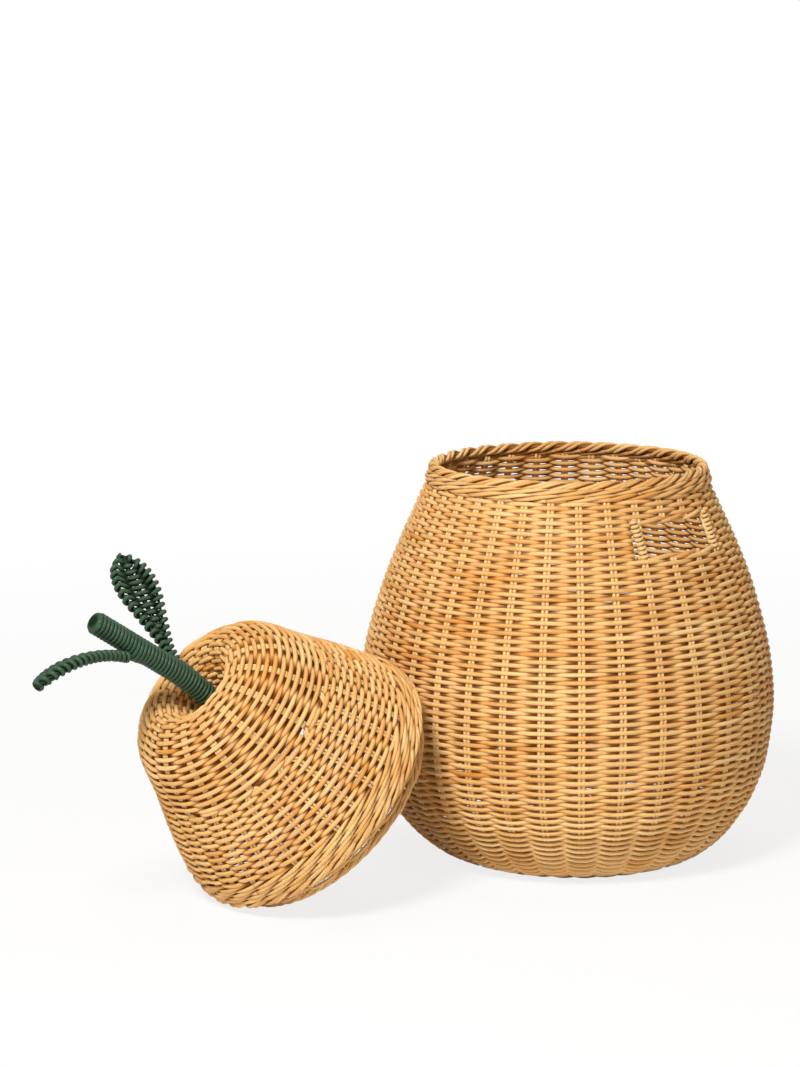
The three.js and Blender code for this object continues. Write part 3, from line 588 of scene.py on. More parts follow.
def twist(centre_of, across, up, strands, turns, radius, start=0.0, end=TURN, steps=12, pair=0.0, phase=0.0,
          dwell=0.0):
    """Strands twisted round a ring, as in waling and in rope borders: each winds about the middle line,
    which centre_of gives for an angle as (radius, height, out_radius, out_height). With a pair angle they
    wind side by side in pairs, and with dwell they stay longer on the outside. On a full ring each
    strand starts where another ends, at places of their own."""
    laid = []
    group = 2 if pair else 1
    starts = np.full(strands, float(start))
    ends = np.full(strands, float(end))
    if end - start > TURN - 1e-6:
        starts += np.random.default_rng(SEED + strands).uniform(0, TURN, strands)
        number = np.arange(strands)
        following = (number // group + round(turns * strands / group)) % (strands // group)
        ends = starts[following * group + number % group] + TURN
        ends[ends < starts + 0.2] += TURN
    for number in range(strands):
        count = int(abs(turns) * steps * (ends[number] - starts[number]) / TURN) + 1
        angle = np.linspace(starts[number], ends[number], count)
        radius_at, height_at, out_radius, out_height = centre_of(angle)
        middle = np.column_stack([radius_at * np.cos(angle), radius_at * np.sin(angle), height_at])
        place = number // group * group
        wind = turns * angle + TURN * place / strands + pair * (-1) ** number + phase
        wind = wind - dwell * np.sin(wind)
        out, rise = across * np.cos(wind), up * np.sin(wind)
        r = radius_at + out * out_radius - rise * out_height
        z = height_at + out * out_height + rise * out_radius
        laid.append((np.column_stack([r * np.cos(angle), r * np.sin(angle), z]), radius, middle))
    return laid


def waling(line, across, up, radius, phase=0.0):
    """Three strands twisted so that each goes in front of two pairs of stakes and behind one."""
    return twist(line, across, up, 3, STAKE_PAIRS / 3, radius, phase=phase)


def rope(line, across, up, radius, core, pair):
    """A rope border: two pairs of strands round a core that closes its middle."""
    strands = twist(line, across, up, 4, 16, radius, steps=14, pair=pair, dwell=0.3)
    return strands + twist(line, 0.2 * MM, 0.2 * MM, 1, 1, core, steps=200)


def ring_line(radius, height, out_radius=1.0, out_height=0.0, seed=0, drift=0.0):
    """The middle line of a twisted ring, with a little handmade drift."""
    def line(angle):
        wave = drift * sway(seed, 4, angle, angle * 0, 1.0)
        ones = np.ones_like(angle)
        return radius + wave, height + 0.6 * wave, out_radius * ones, out_height * ones
    return line


def wall_outline():
    """The middle surface of the basket's wall."""
    sizes = bpy.context.scene.basket_sizes
    reach = BELLY_RADIUS - MOUTH_RADIUS
    knots = [(r * BELLY_RADIUS, h * BODY_HEIGHT) for r, h in WALL_LOWER_SHARES]
    knots += [(MOUTH_RADIUS + r * reach, h * BODY_HEIGHT) for r, h in WALL_UPPER_SHARES]
    return Outline(knots, sizes.swing + sizes.weft_radius)


def wall_weave():
    """The weave of the basket's wall."""
    sizes = bpy.context.scene.basket_sizes
    return Weave(
        wall_outline(), stake_angle, STAKE_PAIRS, 4 * MM, sizes.row_pitch, sizes.swing, sizes.weft_radius,
        SEED, deeper=0.45, sag=4.8 * MM)


def lid_outline():
    """The middle surface of the lid's shell."""
    sizes = bpy.context.scene.basket_sizes
    knots = [(r * LID_RADIUS, h * LID_HEIGHT) for r, h in LID_OUTLINE_SHARES]
    return Outline(knots, sizes.swing + sizes.weft_radius)


def stem_line(distance):
    """Centre line of the stem: straight up the lid's axis, bent, and straight again, with two square
    directions and the direction along it."""
    distance = np.asarray(distance, float)
    beyond = distance - STEM_STRAIGHT_END
    angle = np.clip(beyond / STEM_BEND_RADIUS, 0, STEM_BEND)
    rest = np.maximum(beyond - STEM_BEND_RADIUS * STEM_BEND, 0) + np.minimum(beyond, 0)
    zero = np.zeros_like(angle)
    along = np.stack([zero, -np.sin(angle), np.cos(angle)], axis=-1)
    height = STEM_STRAIGHT_END + STEM_BEND_RADIUS * np.sin(angle)
    centre = np.stack([zero, -STEM_BEND_RADIUS * (1 - np.cos(angle)), height], axis=-1)
    centre = centre + rest[..., None] * along
    side = np.broadcast_to(np.array([1.0, 0, 0]), along.shape)
    return centre, side, np.cross(along, side), along


class Leaf:
    """A leaf's own surface: places along it, across it and above it."""

    def __init__(self, name, rise, gap, curl, roll, along, across):
        self.name = name
        self.roll = roll
        self.root = DIMPLE_HEIGHT + rise
        self.direction = unit(along)
        across = np.array(across)
        self.width = unit(across - across @ self.direction * self.direction)
        self.face = np.cross(self.direction, self.width)
        if self.face[2] < 0:
            self.face = -self.face
        self.curl = curl
        centre, _, _, stem = stem_line(self.root)
        outward = unit(self.direction - self.direction @ stem * stem)
        heading = self.direction * cos(curl / 2) + self.face * sin(curl / 2)
        slant = (1 - (heading @ outward) ** 2) ** 0.5
        self.start = centre + outward * (LEAF_SEAT + gap + LEAF_ROD_RADIUS * slant)
        self.outward = outward
        knots = smooth_curve(LEAF_OUTLINE_SHARES, 16)
        self.half_shares = knots[:, 0]
        self.places = knots[:, 1]

    def half_width(self, share):
        """Half the leaf's width at a share of its length."""
        return LEAF_WIDTH / 2 * np.interp(share, self.places, self.half_shares)

    def at(self, share, offset, lift):
        """Points at shares of the length, offsets across and lifts above the leaf."""
        share, offset, lift = np.broadcast_arrays(*(np.asarray(v, float) for v in (share, offset, lift)))
        turn = self.curl / 2 - self.curl * share
        radius = LEAF_LENGTH / self.curl
        forward = radius * (sin(self.curl / 2) - np.sin(turn))
        rise = radius * (np.cos(turn) - cos(self.curl / 2))
        normal = np.cos(turn)[..., None] * self.face - np.sin(turn)[..., None] * self.direction
        point = self.start + forward[..., None] * self.direction + rise[..., None] * self.face
        roll = self.roll * np.clip((share - 0.25) / 0.65, 0, 1)
        sideways = offset * np.cos(roll) - lift * np.sin(roll)
        upwards = offset * np.sin(roll) + lift * np.cos(roll)
        return point + sideways[..., None] * self.width + upwards[..., None] * normal


def length_of(name, description, default):
    """A length that the panel shows."""
    return bpy.props.FloatProperty(
        name=name, description=description, default=default, unit="LENGTH", precision=5)


def colour_of(name, description, default):
    """A colour that the panel shows."""
    return bpy.props.FloatVectorProperty(
        name=name, description=description, subtype="COLOR", size=4, min=0, max=1, default=(*default, 1.0))


class BasketSizes(bpy.types.PropertyGroup):
    """Sizes of the strands"""

    weft_radius: length_of("Weft radius", "Radius of the round cane that the rows are woven with", 2.08 * MM)
    stake_radius: length_of("Stake radius", "Radius of the upright canes", 1.78 * MM)
    row_pitch: length_of("Row pitch", "Distance from one row to the next, along the wall", 3.62 * MM)
    swing: length_of("Swing", "How far a row swings out in front of a stake and in behind the next", 2.2 * MM)
    foot_shift: length_of("Foot shift", "How far the foot stands to one side", 7.0 * MM)
    lean_height: length_of("Lean height", "Height under which the wall leans to the foot's side", 130 * MM)
    binding_radius: length_of(
        "Binding radius", "Radius of the cane bound round the hand holes' posts", 1.75 * MM)
    cord_radius: length_of("Cord radius", "Radius of the green cord on the stem and leaves", 1.88 * MM)
    leaf_rows: bpy.props.IntProperty(
        name="Leaf rows", description="Rows of cord in a leaf, counted to and fro", default=34, min=8)


class BasketFinish(bpy.types.PropertyGroup):
    """Colours of the basket"""

    cane_pale: colour_of("Pale cane", "Lightest tone of the cane", (0.94, 0.63, 0.275))
    cane_deep: colour_of("Deep cane", "Deepest tone of the cane", (0.68, 0.27, 0.034))
    # Colour painted where shade falls between strands and on the inside
    cane_nook: colour_of("Nooks", "Tone of the cane where strands cross", (0.21, 0.055, 0.005))
    stake: colour_of("Stakes", "Tone of the upright canes", (0.95, 0.66, 0.30))
    cord: colour_of("Green cord", "Tone of the cord on the stem and leaves", (0.046, 0.092, 0.052))
    floor: colour_of("Floor", "Tone of the floor and backdrop", (0.93, 0.93, 0.93))


class BASKET_OT_wall(bpy.types.Operator):
    """Lays the rows and stakes of the basket's wall"""

    bl_idname = "basket.wall"
    bl_label = "Wall rows and stakes"

    def execute(self, context):
        sizes = context.scene.basket_sizes
        weave = wall_weave()
        outline = weave.outline
        foot = 6.5 * MM
        tops = [outline.along_height(z) for z in (FOOT_BAND_TOP, BELLY_BAND_TOP, HOLE_LOW - HOLE_MARGIN)]
        upper = outline.along_height(HOLE_HIGH + HOLE_MARGIN)
        top = outline.along_height(WALE_LOW + 10.5 * MM)
        edge = 2.2 * MM
        bands = [
            ("wall_foot", foot, tops[0]),
            ("wall_belly", tops[0], tops[1]),
            ("wall_shoulder", tops[1], tops[2]),
            ("wall_upper", upper, top),
        ]
        for name, low, high in bands:
            strands = weave.rows(low, high)
            if name in ("wall_shoulder", "wall_upper"):
                level = high + edge if name == "wall_shoulder" else low - edge
                for middle in (0, pi):
                    strands += self.hole_edge(weave, level, middle)
            lay(name + "_rows", leaned(strands), "honey_cane", "basket", [name],
                heart=BASKET_HEART)
        self.panels(weave, tops[2], upper)
        self.stakes(weave, outline, sizes, foot, upper)
        return {"FINISHED"}

    def hole_edge(self, weave, level, middle):
        """Two strands twisted along the edge of a hand hole."""
        reach = radians(20)
        radius, height = weave.outline.at(level)
        out = weave.outline.at(level, 1.0)
        line = ring_line(float(radius), float(height), float(out[0] - radius), float(out[1] - height))
        return twist(line, 2.9 * MM, 1.7 * MM, 2, 16, weave.radius, middle - reach, middle + reach)

    def panels(self, weave, low, high):
        """Rows between the hand holes, which end at the posts. They go on from the rows under
        them and lead into the rows over them."""
        first_row, last_row = (floor((along - weave.start) / weave.pitch) for along in (low, high))
        for name, first, last in (("wall_panel_back", *CUT_PAIRS[:2]), ("wall_panel_front", *CUT_PAIRS[2:])):
            index = np.arange(first + 1.2, last - 1.2, 1 / 6)
            strands = []
            for row in range(first_row - 2, last_row + 1):
                along = weave.start + weave.pitch * (row + 2 * index / STAKE_PAIRS)
                within = index[(along > low) & (along < high)]
                if len(within) > 3:
                    route, line = weave.weft(within, row)
                    strands.append((route, weave.radius, line))
            lay(name + "_rows", leaned(strands), "honey_cane", "basket", [name],
                heart=BASKET_HEART)

    def stakes(self, weave, outline, sizes, foot, upper):
        """Pairs of stakes from the foot to the mouth; two pairs are cut at each hand hole."""
        radius = sizes.stake_radius
        split = outline.along_height(BELLY_BAND_TOP)
        rim = outline.along_height(BODY_HEIGHT - 6 * MM)
        cut = outline.along_height(HOLE_LOW) + 3.0 * MM
        lower, higher = [], []
        for index in range(STAKE_PAIRS):
            for side in (-1, 1):
                offset = side * (radius + 0.05 * MM)
                lower.append(weave.stake(index, foot - 6 * MM, split, offset, radius))
                if index in CUT_PAIRS:
                    higher.append(weave.stake(index, split, cut, offset, radius))
                    higher.append(weave.stake(index, upper - 3 * MM, rim, offset, radius))
                else:
                    higher.append(weave.stake(index, split, rim, offset, radius))
        for name, strands in (("wall_stakes_lower", lower), ("wall_stakes_upper", higher)):
            lay(name, leaned(strands), "peeled_stake", "basket", sides=6,
                heart=BASKET_HEART)


class BASKET_OT_posts(bpy.types.Operator):
    """Lays the posts of the hand holes and the cane bound round them"""

    bl_idname = "basket.posts"
    bl_label = "Hand hole posts"

    def execute(self, context):
        sizes = context.scene.basket_sizes
        outline = wall_outline()
        for side_name, side in (("right", 1), ("left", -1)):
            for end_name, end in (("front", -1), ("back", 1)):
                name = f"{side_name}_{end_name}"
                heights = np.linspace(HOLE_LOW - POST_OVERLAP, HOLE_HIGH + POST_OVERLAP, POST_POINTS)
                along = np.interp(heights, outline.points[:, 1], outline.length)
                ring = outline.at(along)[0] + POST_OUT
                x = side * np.sqrt(ring**2 - POST_OFFSET**2)
                middle = np.column_stack([x, np.full(POST_POINTS, end * POST_OFFSET), heights])
                spread = np.array([end * side * 0.30, 0.95, 0]) * 1.3 * MM
                posts = [(middle + spread * k, POST_STICK_RADIUS, middle) for k in (-1, 1)]
                lay("handle_sticks_" + name, posts, "peeled_stake", "basket",
                    ["handle_post_" + name])
                self.bind(name, middle, sizes.binding_radius)
        return {"FINISHED"}

    def bind(self, name, middle, thickness):
        """Cane wound round a post, a little wider across the pair."""
        share = np.linspace(0.06, 0.94, BINDING_LOOPS * 16)
        wind = TURN * BINDING_LOOPS * np.linspace(0, 1, len(share))
        whole = np.linspace(0, 1, POST_POINTS)
        centre = np.column_stack([np.interp(share, whole, middle[:, i]) for i in range(3)])
        route = centre.copy()
        route[:, 0] += 2.8 * MM * np.cos(wind)
        route[:, 1] += 3.2 * MM * np.sin(wind)
        lay("handle_cane_" + name, [(route, thickness, centre)], "bound_cane", "basket",
            ["handle_binding_" + name])


class BASKET_OT_mouth(bpy.types.Operator):
    """Lays the waling and the rope-like border of the mouth"""

    bl_idname = "basket.mouth"
    bl_label = "Mouth waling and border"

    def execute(self, context):
        low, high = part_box("mouth_wale")
        outside = high.x
        wales = []
        for row, share in enumerate((0.58, 0.98)):
            radius = outside - 3.9 * MM - share * 4.4 * MM
            height = low.z + share * (high.z - low.z)
            line = ring_line(radius, height, 0.94, 0.34, SEED + row, 0.4 * MM)
            wales += waling(line, *MOUTH_WALING, phase=1.1 * row)
        lay("mouth_wale_rows", wales, "border_cane", "basket", ["mouth_wale"],
            heart=BASKET_HEART)
        low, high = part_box("mouth_border")
        line = ring_line(high.x - 5 * MM, (low.z + high.z) / 2, seed=SEED, drift=0.5 * MM)
        lay("mouth_border_rope", rope(line, *MOUTH_ROPE), "border_cane", "basket",
            ["mouth_border"])
        return {"FINISHED"}


class BASKET_OT_base(bpy.types.Operator):
    """Lays the foot border, the crossing base sticks and the base's rows"""

    bl_idname = "basket.base"
    bl_label = "Foot and base"

    def execute(self, context):
        sizes = context.scene.basket_sizes
        line = ring_line(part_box("foot_border")[1].x - FOOT_INSET, FOOT_INSET, 0.9, -0.43)
        border = self.grounded(leaned(waling(line, *FOOT_WALING)))
        lay("foot_border_rope", border, "border_cane", "basket", ["foot_border"])
        low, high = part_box("base_weave")
        edge, middle = high.x, (low.z + high.z) / 2
        outline = Outline([(edge + 9 * MM, middle - 2 * MM), (BASE_KNOT * edge, middle + 1 * MM),
                           (16 * MM, middle + 2 * MM)], 0)
        weave = Weave(
            outline, lid_stake_angle, STAKE_PAIRS, 0, sizes.row_pitch, 1.9 * MM, 1.95 * MM, SEED + 5)
        rows = weave.rows(1 * MM, outline.length[-1], steps=4)
        rows = self.grounded(leaned(rows))
        lay("base_rows", rows, "border_cane", "basket", ["base_weave"])
        self.sticks(outline, edge)
        return {"FINISHED"}

    def grounded(self, strands):
        """No point of a strand lower than the floor."""
        for route, width, _ in strands:
            route[:, 2] = np.maximum(route[:, 2], width)
        return strands

    def sticks(self, outline, edge):
        """Sticks that cross as many others in the middle and fan out to the wall."""
        strands = []
        for over in (-1, 1):
            for number in range(BASE_STICKS):
                step = number - (BASE_STICKS - 1) / 2
                fan = step * TURN / (4 * BASE_STICKS)
                across = step * BASE_STICK_PITCH
                half = [(cos(fan) * reach, sin(fan) * reach) for reach in (edge, BASE_KNOT * edge)]
                half.append((BASE_CROSSING, across))
                x, y = smooth_curve(half + [(0, across)] + [(-x, y) for x, y in reversed(half)], 5).T
                reach = np.hypot(x, y)
                level = np.interp(reach, outline.points[::-1, 0], outline.points[::-1, 1])
                level = level + over * BASE_STICK_LIFT * np.clip(1 - reach / (2 * BASE_CROSSING), 0, 1)
                route = np.column_stack([x, y, level] if over > 0 else [-y, x, level])
                strands.append((route, BASE_STICK_RADIUS, route))
        lay("base_sticks", leaned(strands), "peeled_stake", "basket", ["base_spokes"],
            sides=6)


class BASKET_OT_lid(bpy.types.Operator):
    """Lays the rows and stakes of the lid, its waling, its rim and its collar"""

    bl_idname = "basket.lid"
    bl_label = "Lid"

    def execute(self, context):
        sizes = context.scene.basket_sizes
        outline = lid_outline()
        side_low = outline.along_height(LID_SIDE_LOW)
        parting = outline.along_height(LID_PARTING)
        end = outline.length[-1] - 1 * MM
        args = (sizes.row_pitch, sizes.swing, sizes.weft_radius)
        side = Weave(outline, lid_stake_angle, STAKE_PAIRS, side_low, *args, SEED + 11)
        meeting = side_low + side.pitch * 2 * round((parting - side_low) / side.pitch / 2)
        crown = Weave(outline, crown_stake_angle, CROWN_BUNDLES, meeting, *args, SEED + 11)
        self.piece("lid_side_rows", side.rows(side_low, meeting), "lid_cane", "natural_rattan", ["lid_side"])
        self.piece("lid_crown_rows", crown.rows(meeting, end, steps=10), "lid_cane", "natural_rattan",
                   ["lid_crown"])
        self.stakes(side, crown, side_low, meeting, end, sizes.stake_radius)
        self.rim(outline)
        self.collar(sizes)
        return {"FINISHED"}

    def piece(self, name, strands, finish, slot, nodes=(), sides=8):
        """One piece of the lid, with painted shade on its inside."""
        return lay_on_lid(name, strands, finish, nodes, sides, LID_HEART)

    def stakes(self, side, crown, low, parting, end, radius):
        """Pairs of stakes on the side, gathered in fours on the crown."""
        strands = []
        gather = 12 * MM
        for index in range(STAKE_PAIRS):
            toward = (1 if index % 2 == 0 else -1) * TURN / (2 * STAKE_PAIRS)

            def turn_to(along):
                return toward * np.clip((along - parting + gather) / gather, 0, 1) ** 2 * 0.75

            for way in (-1, 1):
                strands.append(side.stake(index, low - 10 * MM, parting, way * 1.6 * MM, 0.86 * radius,
                                          push=0.5 * MM, turn_to=turn_to))
        for index in range(CROWN_BUNDLES):
            for slot_share in (-1.5, -0.5, 0.5, 1.5):
                route, _, middle = crown.stake(index, parting, end, 0, radius, push=0.6 * MM)
                ring = np.hypot(route[:, 0], route[:, 1])
                room = np.minimum(1.7 * MM, TURN * ring / CROWN_BUNDLES * 0.10)
                angle = np.arctan2(route[:, 1], route[:, 0]) + slot_share * room / ring
                for points in (route, middle):
                    reach = np.hypot(points[:, 0], points[:, 1])
                    points[:, 0], points[:, 1] = reach * np.cos(angle), reach * np.sin(angle)
                strands.append((route, np.minimum(1.0 * MM, room * 0.6), middle))
        self.piece("lid_stakes", strands, "lid_stake", "natural_rattan", sides=6)

    def rim(self, outline):
        """Four rows of waling, one more that fills the corner inside them, and the rope border."""
        wales = []
        for row, height in enumerate(RIM_WALE_HEIGHTS):
            radius, level = outline.at(outline.along_height(height))
            line = ring_line(float(radius) + 0.6 * MM, float(level), 0.99, 0.12, SEED + 20 + row, 0.5 * MM)
            wales += waling(line, *RIM_WALING, phase=1.3 * row)
        wales += waling(ring_line(LID_RADIUS - 9.5 * MM, 9.0 * MM), *CORNER_WALING)
        self.piece("lid_wale_rows", wales, "border_cane", "natural_rattan", ["lid_wale"])
        line = ring_line(LID_RADIUS - RIM_INSET, RIM_INSET, seed=SEED + 24, drift=0.5 * MM)
        self.piece("lid_border_rope", rope(line, *RIM_ROPE), "border_cane", "border_rattan", ["lid_border"])

    def collar(self, sizes):
        """The ring that drops into the mouth: fine rows on single stakes, and its border."""
        knots = [(COLLAR_RADIUS, height) for height in (COLLAR_LOW, 10 * MM, COLLAR_HIGH)]
        outline = Outline(knots, 3.0 * MM)
        start = 0.4 * MM
        weave = Weave(
            outline, lid_stake_angle, STAKE_PAIRS, start, sizes.row_pitch, 1.25 * MM, 1.75 * MM, SEED + 30)
        rows = weave.rows(start, outline.length[-1] - 2 * MM, steps=4)
        self.piece("collar_rows", rows, "honey_cane", "natural_rattan", ["collar_weave"])
        stakes = [weave.stake(index, 0, outline.length[-1], 0, 1.2 * MM, 0.2 * MM)
                  for index in range(STAKE_PAIRS)]
        self.piece("collar_stakes", stakes, "peeled_stake", "natural_rattan", sides=6)
        line = ring_line(COLLAR_BORDER_RADIUS, COLLAR_BORDER_HEIGHT, seed=SEED + 31, drift=0.2 * MM)
        border = twist(line, 2.1 * MM, 2.1 * MM, 4, 14, 1.55 * MM)
        self.piece("collar_border_rope", border, "border_cane", "border_rattan", ["collar_border"])


class BASKET_OT_stem(bpy.types.Operator):
    """Winds the cord round the stem and finishes its core, cap and peg"""

    bl_idname = "basket.stem"
    bl_label = "Stem"

    def execute(self, context):
        sizes = context.scene.basket_sizes
        cord = sizes.cord_radius
        distance = np.linspace(STEM_FOOT, STEM_END - 2.8 * MM, 30)
        centre, _, _, _ = stem_line(distance)
        rod = [(centre, STEM_ROD_RADIUS, centre)]
        lay_on_lid("stem_rod", rod, "dark_rod", ["stem_core"], sides=12)
        start, end = DIMPLE_HEIGHT + 1 * MM, STEM_END - 3.2 * MM
        loops = int((end - start) / (2.16 * cord))
        turn = np.linspace(0, loops, loops * 20)
        distance = start + (end - start) * turn / loops
        centre, side, up, _ = stem_line(distance)
        reach = np.full(len(turn), STEM_CORE_RADIUS + 0.8 * cord)
        wind = TURN * turn
        outward = side * np.cos(wind)[:, None] + up * np.sin(wind)[:, None]
        for leaf in (Leaf(**values) for values in LEAVES):
            near = np.exp(-((distance - leaf.root + ROOT_UNDER) / ROOT_REACH) ** 2)
            facing = np.clip(outward @ leaf.outward, 0, 1) ** 2
            reach = reach + ROOT_LIFT * near * facing
        route = centre + outward * reach[:, None]
        lay_on_lid("stem_cord", [(route, cord, centre)], "wound_cord", ["stem_wrap"])
        self.cap()
        self.peg()
        return {"FINISHED"}

    def cap(self):
        """The rounded disc on the stem's end."""
        below, width = np.array(STEM_DISC).T * MM
        centre, _, _, _ = stem_line(STEM_END - below)
        disc = [(centre, width, centre)]
        lay_on_lid("stem_end_disc", disc, "wound_cord", ["stem_cap"], sides=32)

    def peg(self):
        """The peg across the stem's foot, with its ends rounded."""
        bpy.ops.object.select_all(action="DESELECT")
        bpy.ops.mesh.primitive_cylinder_add(
            vertices=24, radius=PEG_RADIUS, depth=PEG_LENGTH, end_fill_type="TRIFAN")
        peg = bpy.context.object
        peg.name = peg.data.name = "stem_peg_round"
        bpy.ops.object.mode_set(mode="EDIT")
        bpy.ops.mesh.select_all(action="SELECT")
        bpy.ops.mesh.bevel(offset=0.8 * MM, segments=2)
        bpy.ops.object.mode_set(mode="OBJECT")
        low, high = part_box("stem_peg")
        turn = LID_PLACE.to_3x3().to_4x4() @ Matrix.Rotation(TURN / 4, 4, "Y")
        peg.data.transform(Matrix.Translation((low + high) / 2) @ turn)
        places = np.empty(len(peg.data.vertices) * 3, np.float32)
        peg.data.vertices.foreach_get("co", places)
        peg.data.attributes.new("fibre", "FLOAT_VECTOR", "POINT").data.foreach_set("vector", places)
        peg.data.attributes.new("nook", "FLOAT", "POINT")
        bpy.ops.object.shade_smooth_by_angle(angle=radians(40))
        settle(peg, "peeled_stake", "stem_peg", ["stem_peg"])


class BASKET_OT_leaves(bpy.types.Operator):
    """Weaves the two leaves: rim rods, ribs and one long cord each"""

    bl_idname = "basket.leaves"
    bl_label = "Leaves"

    def execute(self, context):
        for values in LEAVES:
            self.leaf(Leaf(**values), context.scene.basket_sizes)
        return {"FINISHED"}

    def leaf(self, leaf, sizes):
        """One leaf: its rim rod, its two ribs and its cord."""
        cord, rod = sizes.cord_radius * 1.14, 1.2 * MM
        inset = rod + 2 * cord - 0.4 * MM
        end = 1 - inset / LEAF_LENGTH

        def edge(share):
            return np.maximum(leaf.half_width(share) - inset, 1.4 * MM)

        places = np.linspace(0.0, 1.0, 40)
        edges = [leaf.at(end * places, side * edge(places), 0.0) for side in (1, -1)]
        rim = np.vstack([edges[0], edges[1][::-1]])
        lay_on_lid(leaf.name + "_rod", [(rim, rod, rim)], "dark_rod", [leaf.name + "_rim"])
        places = np.linspace(0.14, 0.98, 30)
        for side_name, side in (("left", 1), ("right", -1)):
            offset = side * np.minimum(1.4 * MM, edge(places) * 0.5)
            rib = leaf.at(end * places, offset, 0.0)
            name = f"{leaf.name}_rib_{side_name}"
            lay_on_lid(name + "_rod", [(rib, rod, rib)], "dark_rod", [name])
        self.cord(leaf, sizes.leaf_rows, cord, rod + cord, edge, end)

    def cord(self, leaf, count, cord, loop, edge, end):
        """One cord to and fro across the leaf, over the rim, under the ribs and over the rim, then back
        the other way. Near the root it only goes round and round."""
        routes, middles = [], []

        def place_of(row):
            t = np.clip((row + 0.5) / count, 0, 1)
            return t - 0.025 * np.sin(TURN * t)

        for row in range(count):
            over = 1 if row % 2 == 0 else -1
            share = float(place_of(row + (0.22 if over < 0 else 0.0)))
            half = float(edge(share))
            across = over * np.linspace(-1, 1, 17)[1:-1]
            spread = np.clip((half - 1.8 * MM) / (4.5 * MM), 0, 1)
            spread = spread * spread * (3 - 2 * spread)
            lift = 0.95 * loop * over * (1 - spread * (1 + np.cos(pi * across)))
            late = np.clip((share - 0.55) / 0.3, 0, 1) * np.clip((1.0 - share) / 0.07, 0, 1)
            bow = (0.012 + 0.055 * late) * (1 - across**2)
            routes.append(leaf.at(end * (share - bow), across * half, lift))
            middles.append(leaf.at(end * (share - bow), across * half, 0.0))
            turn = np.linspace(0, 1, 10)
            following = float(place_of(row + 1 + (0.22 if over > 0 else 0.0)))
            climb = share + (following - share) * turn
            angle = over * (pi / 2 - pi * turn)
            wide = loop * (1 - 0.45 * np.clip((share - 0.90) / 0.08, 0, 1))
            out = over * (edge(climb) + wide * np.cos(angle))
            routes.append(leaf.at(end * climb, out, loop * np.sin(angle)))
            middles.append(leaf.at(end * climb, over * edge(climb), 0.0))
        lay_on_lid(leaf.name + "_cord", [(np.vstack(routes), cord, np.vstack(middles))], "wound_cord",
                   [leaf.name + "_web"])


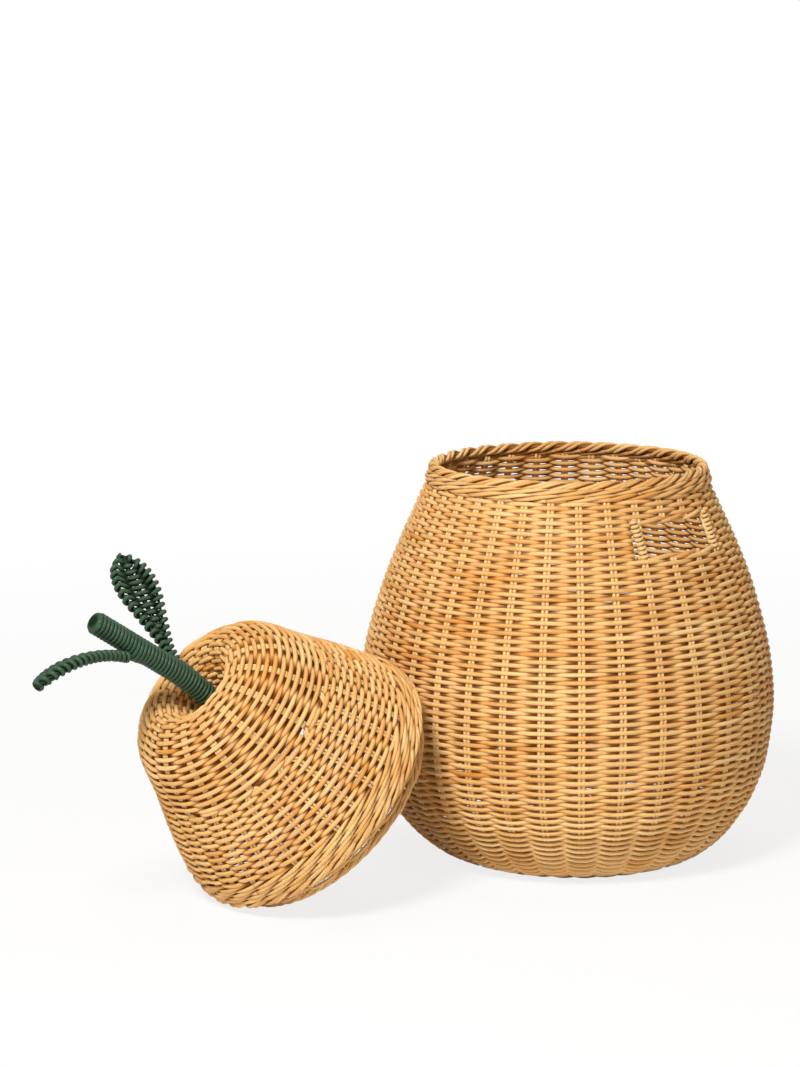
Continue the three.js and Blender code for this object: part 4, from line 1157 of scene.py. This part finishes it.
class BASKET_OT_stage(bpy.types.Operator):
    """Sets the camera, the lamps, the floor and the world"""

    bl_idname = "basket.stage"
    bl_label = "Stage"

    def execute(self, context):
        scene = context.scene
        scene.view_settings.view_transform = "Standard"
        bpy.ops.object.select_all(action="DESELECT")
        bpy.ops.object.camera_add(location=CAMERA_PLACE, rotation=(pi / 2 - CAMERA_DOWN, 0, CAMERA_SIDE))
        camera = context.object
        camera.data.lens = CAMERA_LENS
        camera.data.sensor_width = 36
        camera.data.clip_end = 200
        scene.camera = camera
        for values in LAMPS:
            self.lamp(*values)
        self.world(scene)
        self.floor(scene.basket_finish.floor)
        return {"FINISHED"}

    def lamp(self, name, place, size, power):
        """A square soft lamp that faces the basket."""
        bpy.ops.object.light_add(type="AREA", location=place)
        lamp = bpy.context.object
        lamp.name = name
        lamp.data.energy = power
        lamp.data.size = size
        lamp.rotation_euler = (LAMP_AIM - lamp.location).to_track_quat("-Z", "Y").to_euler()

    def seen(self, tree):
        """1 for rays that show the background: those of the camera, of gloss and of glass."""
        camera = node(tree, "ShaderNodeLightPath", output="Is Camera Ray")
        gloss = node(tree, "ShaderNodeLightPath", output="Is Glossy Ray")
        glass = node(tree, "ShaderNodeLightPath", output="Is Transmission Ray")
        clamped = {"operation": "ADD", "use_clamp": True}
        return node(tree, "ShaderNodeMath", clamped, {0: camera + gloss, 1: glass})

    def world(self, scene):
        """White where it is seen, and a plain soft sky for the light."""
        scene.world = bpy.data.worlds.new("studio")
        scene.world.use_nodes = True
        tree = scene.world.node_tree
        tree.nodes.clear()
        light = node(tree, "ShaderNodeBackground", None, {"Color": WORLD_COLOUR, "Strength": WORLD_STRENGTH})
        white = node(tree, "ShaderNodeBackground", None, {"Color": WHITE, "Strength": 1.0})
        shown = node(tree, "ShaderNodeMixShader", None, {0: self.seen(tree), 1: light, 2: white})
        node(tree, "ShaderNodeOutputWorld", None, {"Surface": shown})

    def floor(self, colour):
        """A wide pale floor. What the camera sees of it is mostly its own white, with a soft shadow."""
        bpy.ops.mesh.primitive_plane_add(size=120)
        floor = bpy.context.object
        floor.name = "floor"
        paint = bpy.data.materials.new("floor_paint")
        paint.use_nodes = True
        tree = paint.node_tree
        tree.nodes.clear()
        matt = node(tree, "ShaderNodeBsdfDiffuse", None, {"Color": colour})
        white = node(tree, "ShaderNodeEmission", None, {"Color": WHITE, "Strength": 1.0})
        place = node(tree, "ShaderNodeTexCoord", output=3)
        away = node(tree, "ShaderNodeVectorMath", {"operation": "LENGTH"}, {0: place}, output=1)
        share = ranged(tree, away, 0.5, 1.8, 0.82, 1.0)
        shown = node(tree, "ShaderNodeMixShader", None, {0: self.seen(tree) * share, 1: matt, 2: white})
        node(tree, "ShaderNodeOutputMaterial", None, {"Surface": shown})
        floor.data.materials.append(paint)


class BASKET_PT_panel(bpy.types.Panel):
    """Lists what makes the basket"""

    bl_idname = "BASKET_PT_panel"
    bl_label = "Woven rattan basket"
    bl_space_type = "VIEW_3D"
    bl_region_type = "UI"
    bl_category = "Basket"

    def draw(self, context):
        for group in (context.scene.basket_sizes, context.scene.basket_finish):
            for name in group.__annotations__:
                self.layout.prop(group, name)
        for operator in OPERATORS:
            self.layout.operator(operator.bl_idname)


OPERATORS = (
    BASKET_OT_wall, BASKET_OT_posts, BASKET_OT_mouth, BASKET_OT_base, BASKET_OT_lid, BASKET_OT_stem,
    BASKET_OT_leaves, BASKET_OT_stage,
)
CLASSES = (BasketSizes, BasketFinish, BASKET_PT_panel) + OPERATORS


def register():
    for made in CLASSES:
        bpy.utils.register_class(made)
    bpy.types.Scene.basket_sizes = bpy.props.PointerProperty(type=BasketSizes)
    bpy.types.Scene.basket_finish = bpy.props.PointerProperty(type=BasketFinish)


def unregister():
    del bpy.types.Scene.basket_finish
    del bpy.types.Scene.basket_sizes
    for made in reversed(CLASSES):
        bpy.utils.unregister_class(made)


def main():
    """Makes everything in order."""
    register()
    bpy.ops.basket.wall()
    bpy.ops.basket.posts()
    bpy.ops.basket.mouth()
    bpy.ops.basket.base()
    bpy.ops.basket.lid()
    bpy.ops.basket.stem()
    bpy.ops.basket.leaves()
    bpy.ops.basket.stage()


if __name__ == "__main__":
    main()
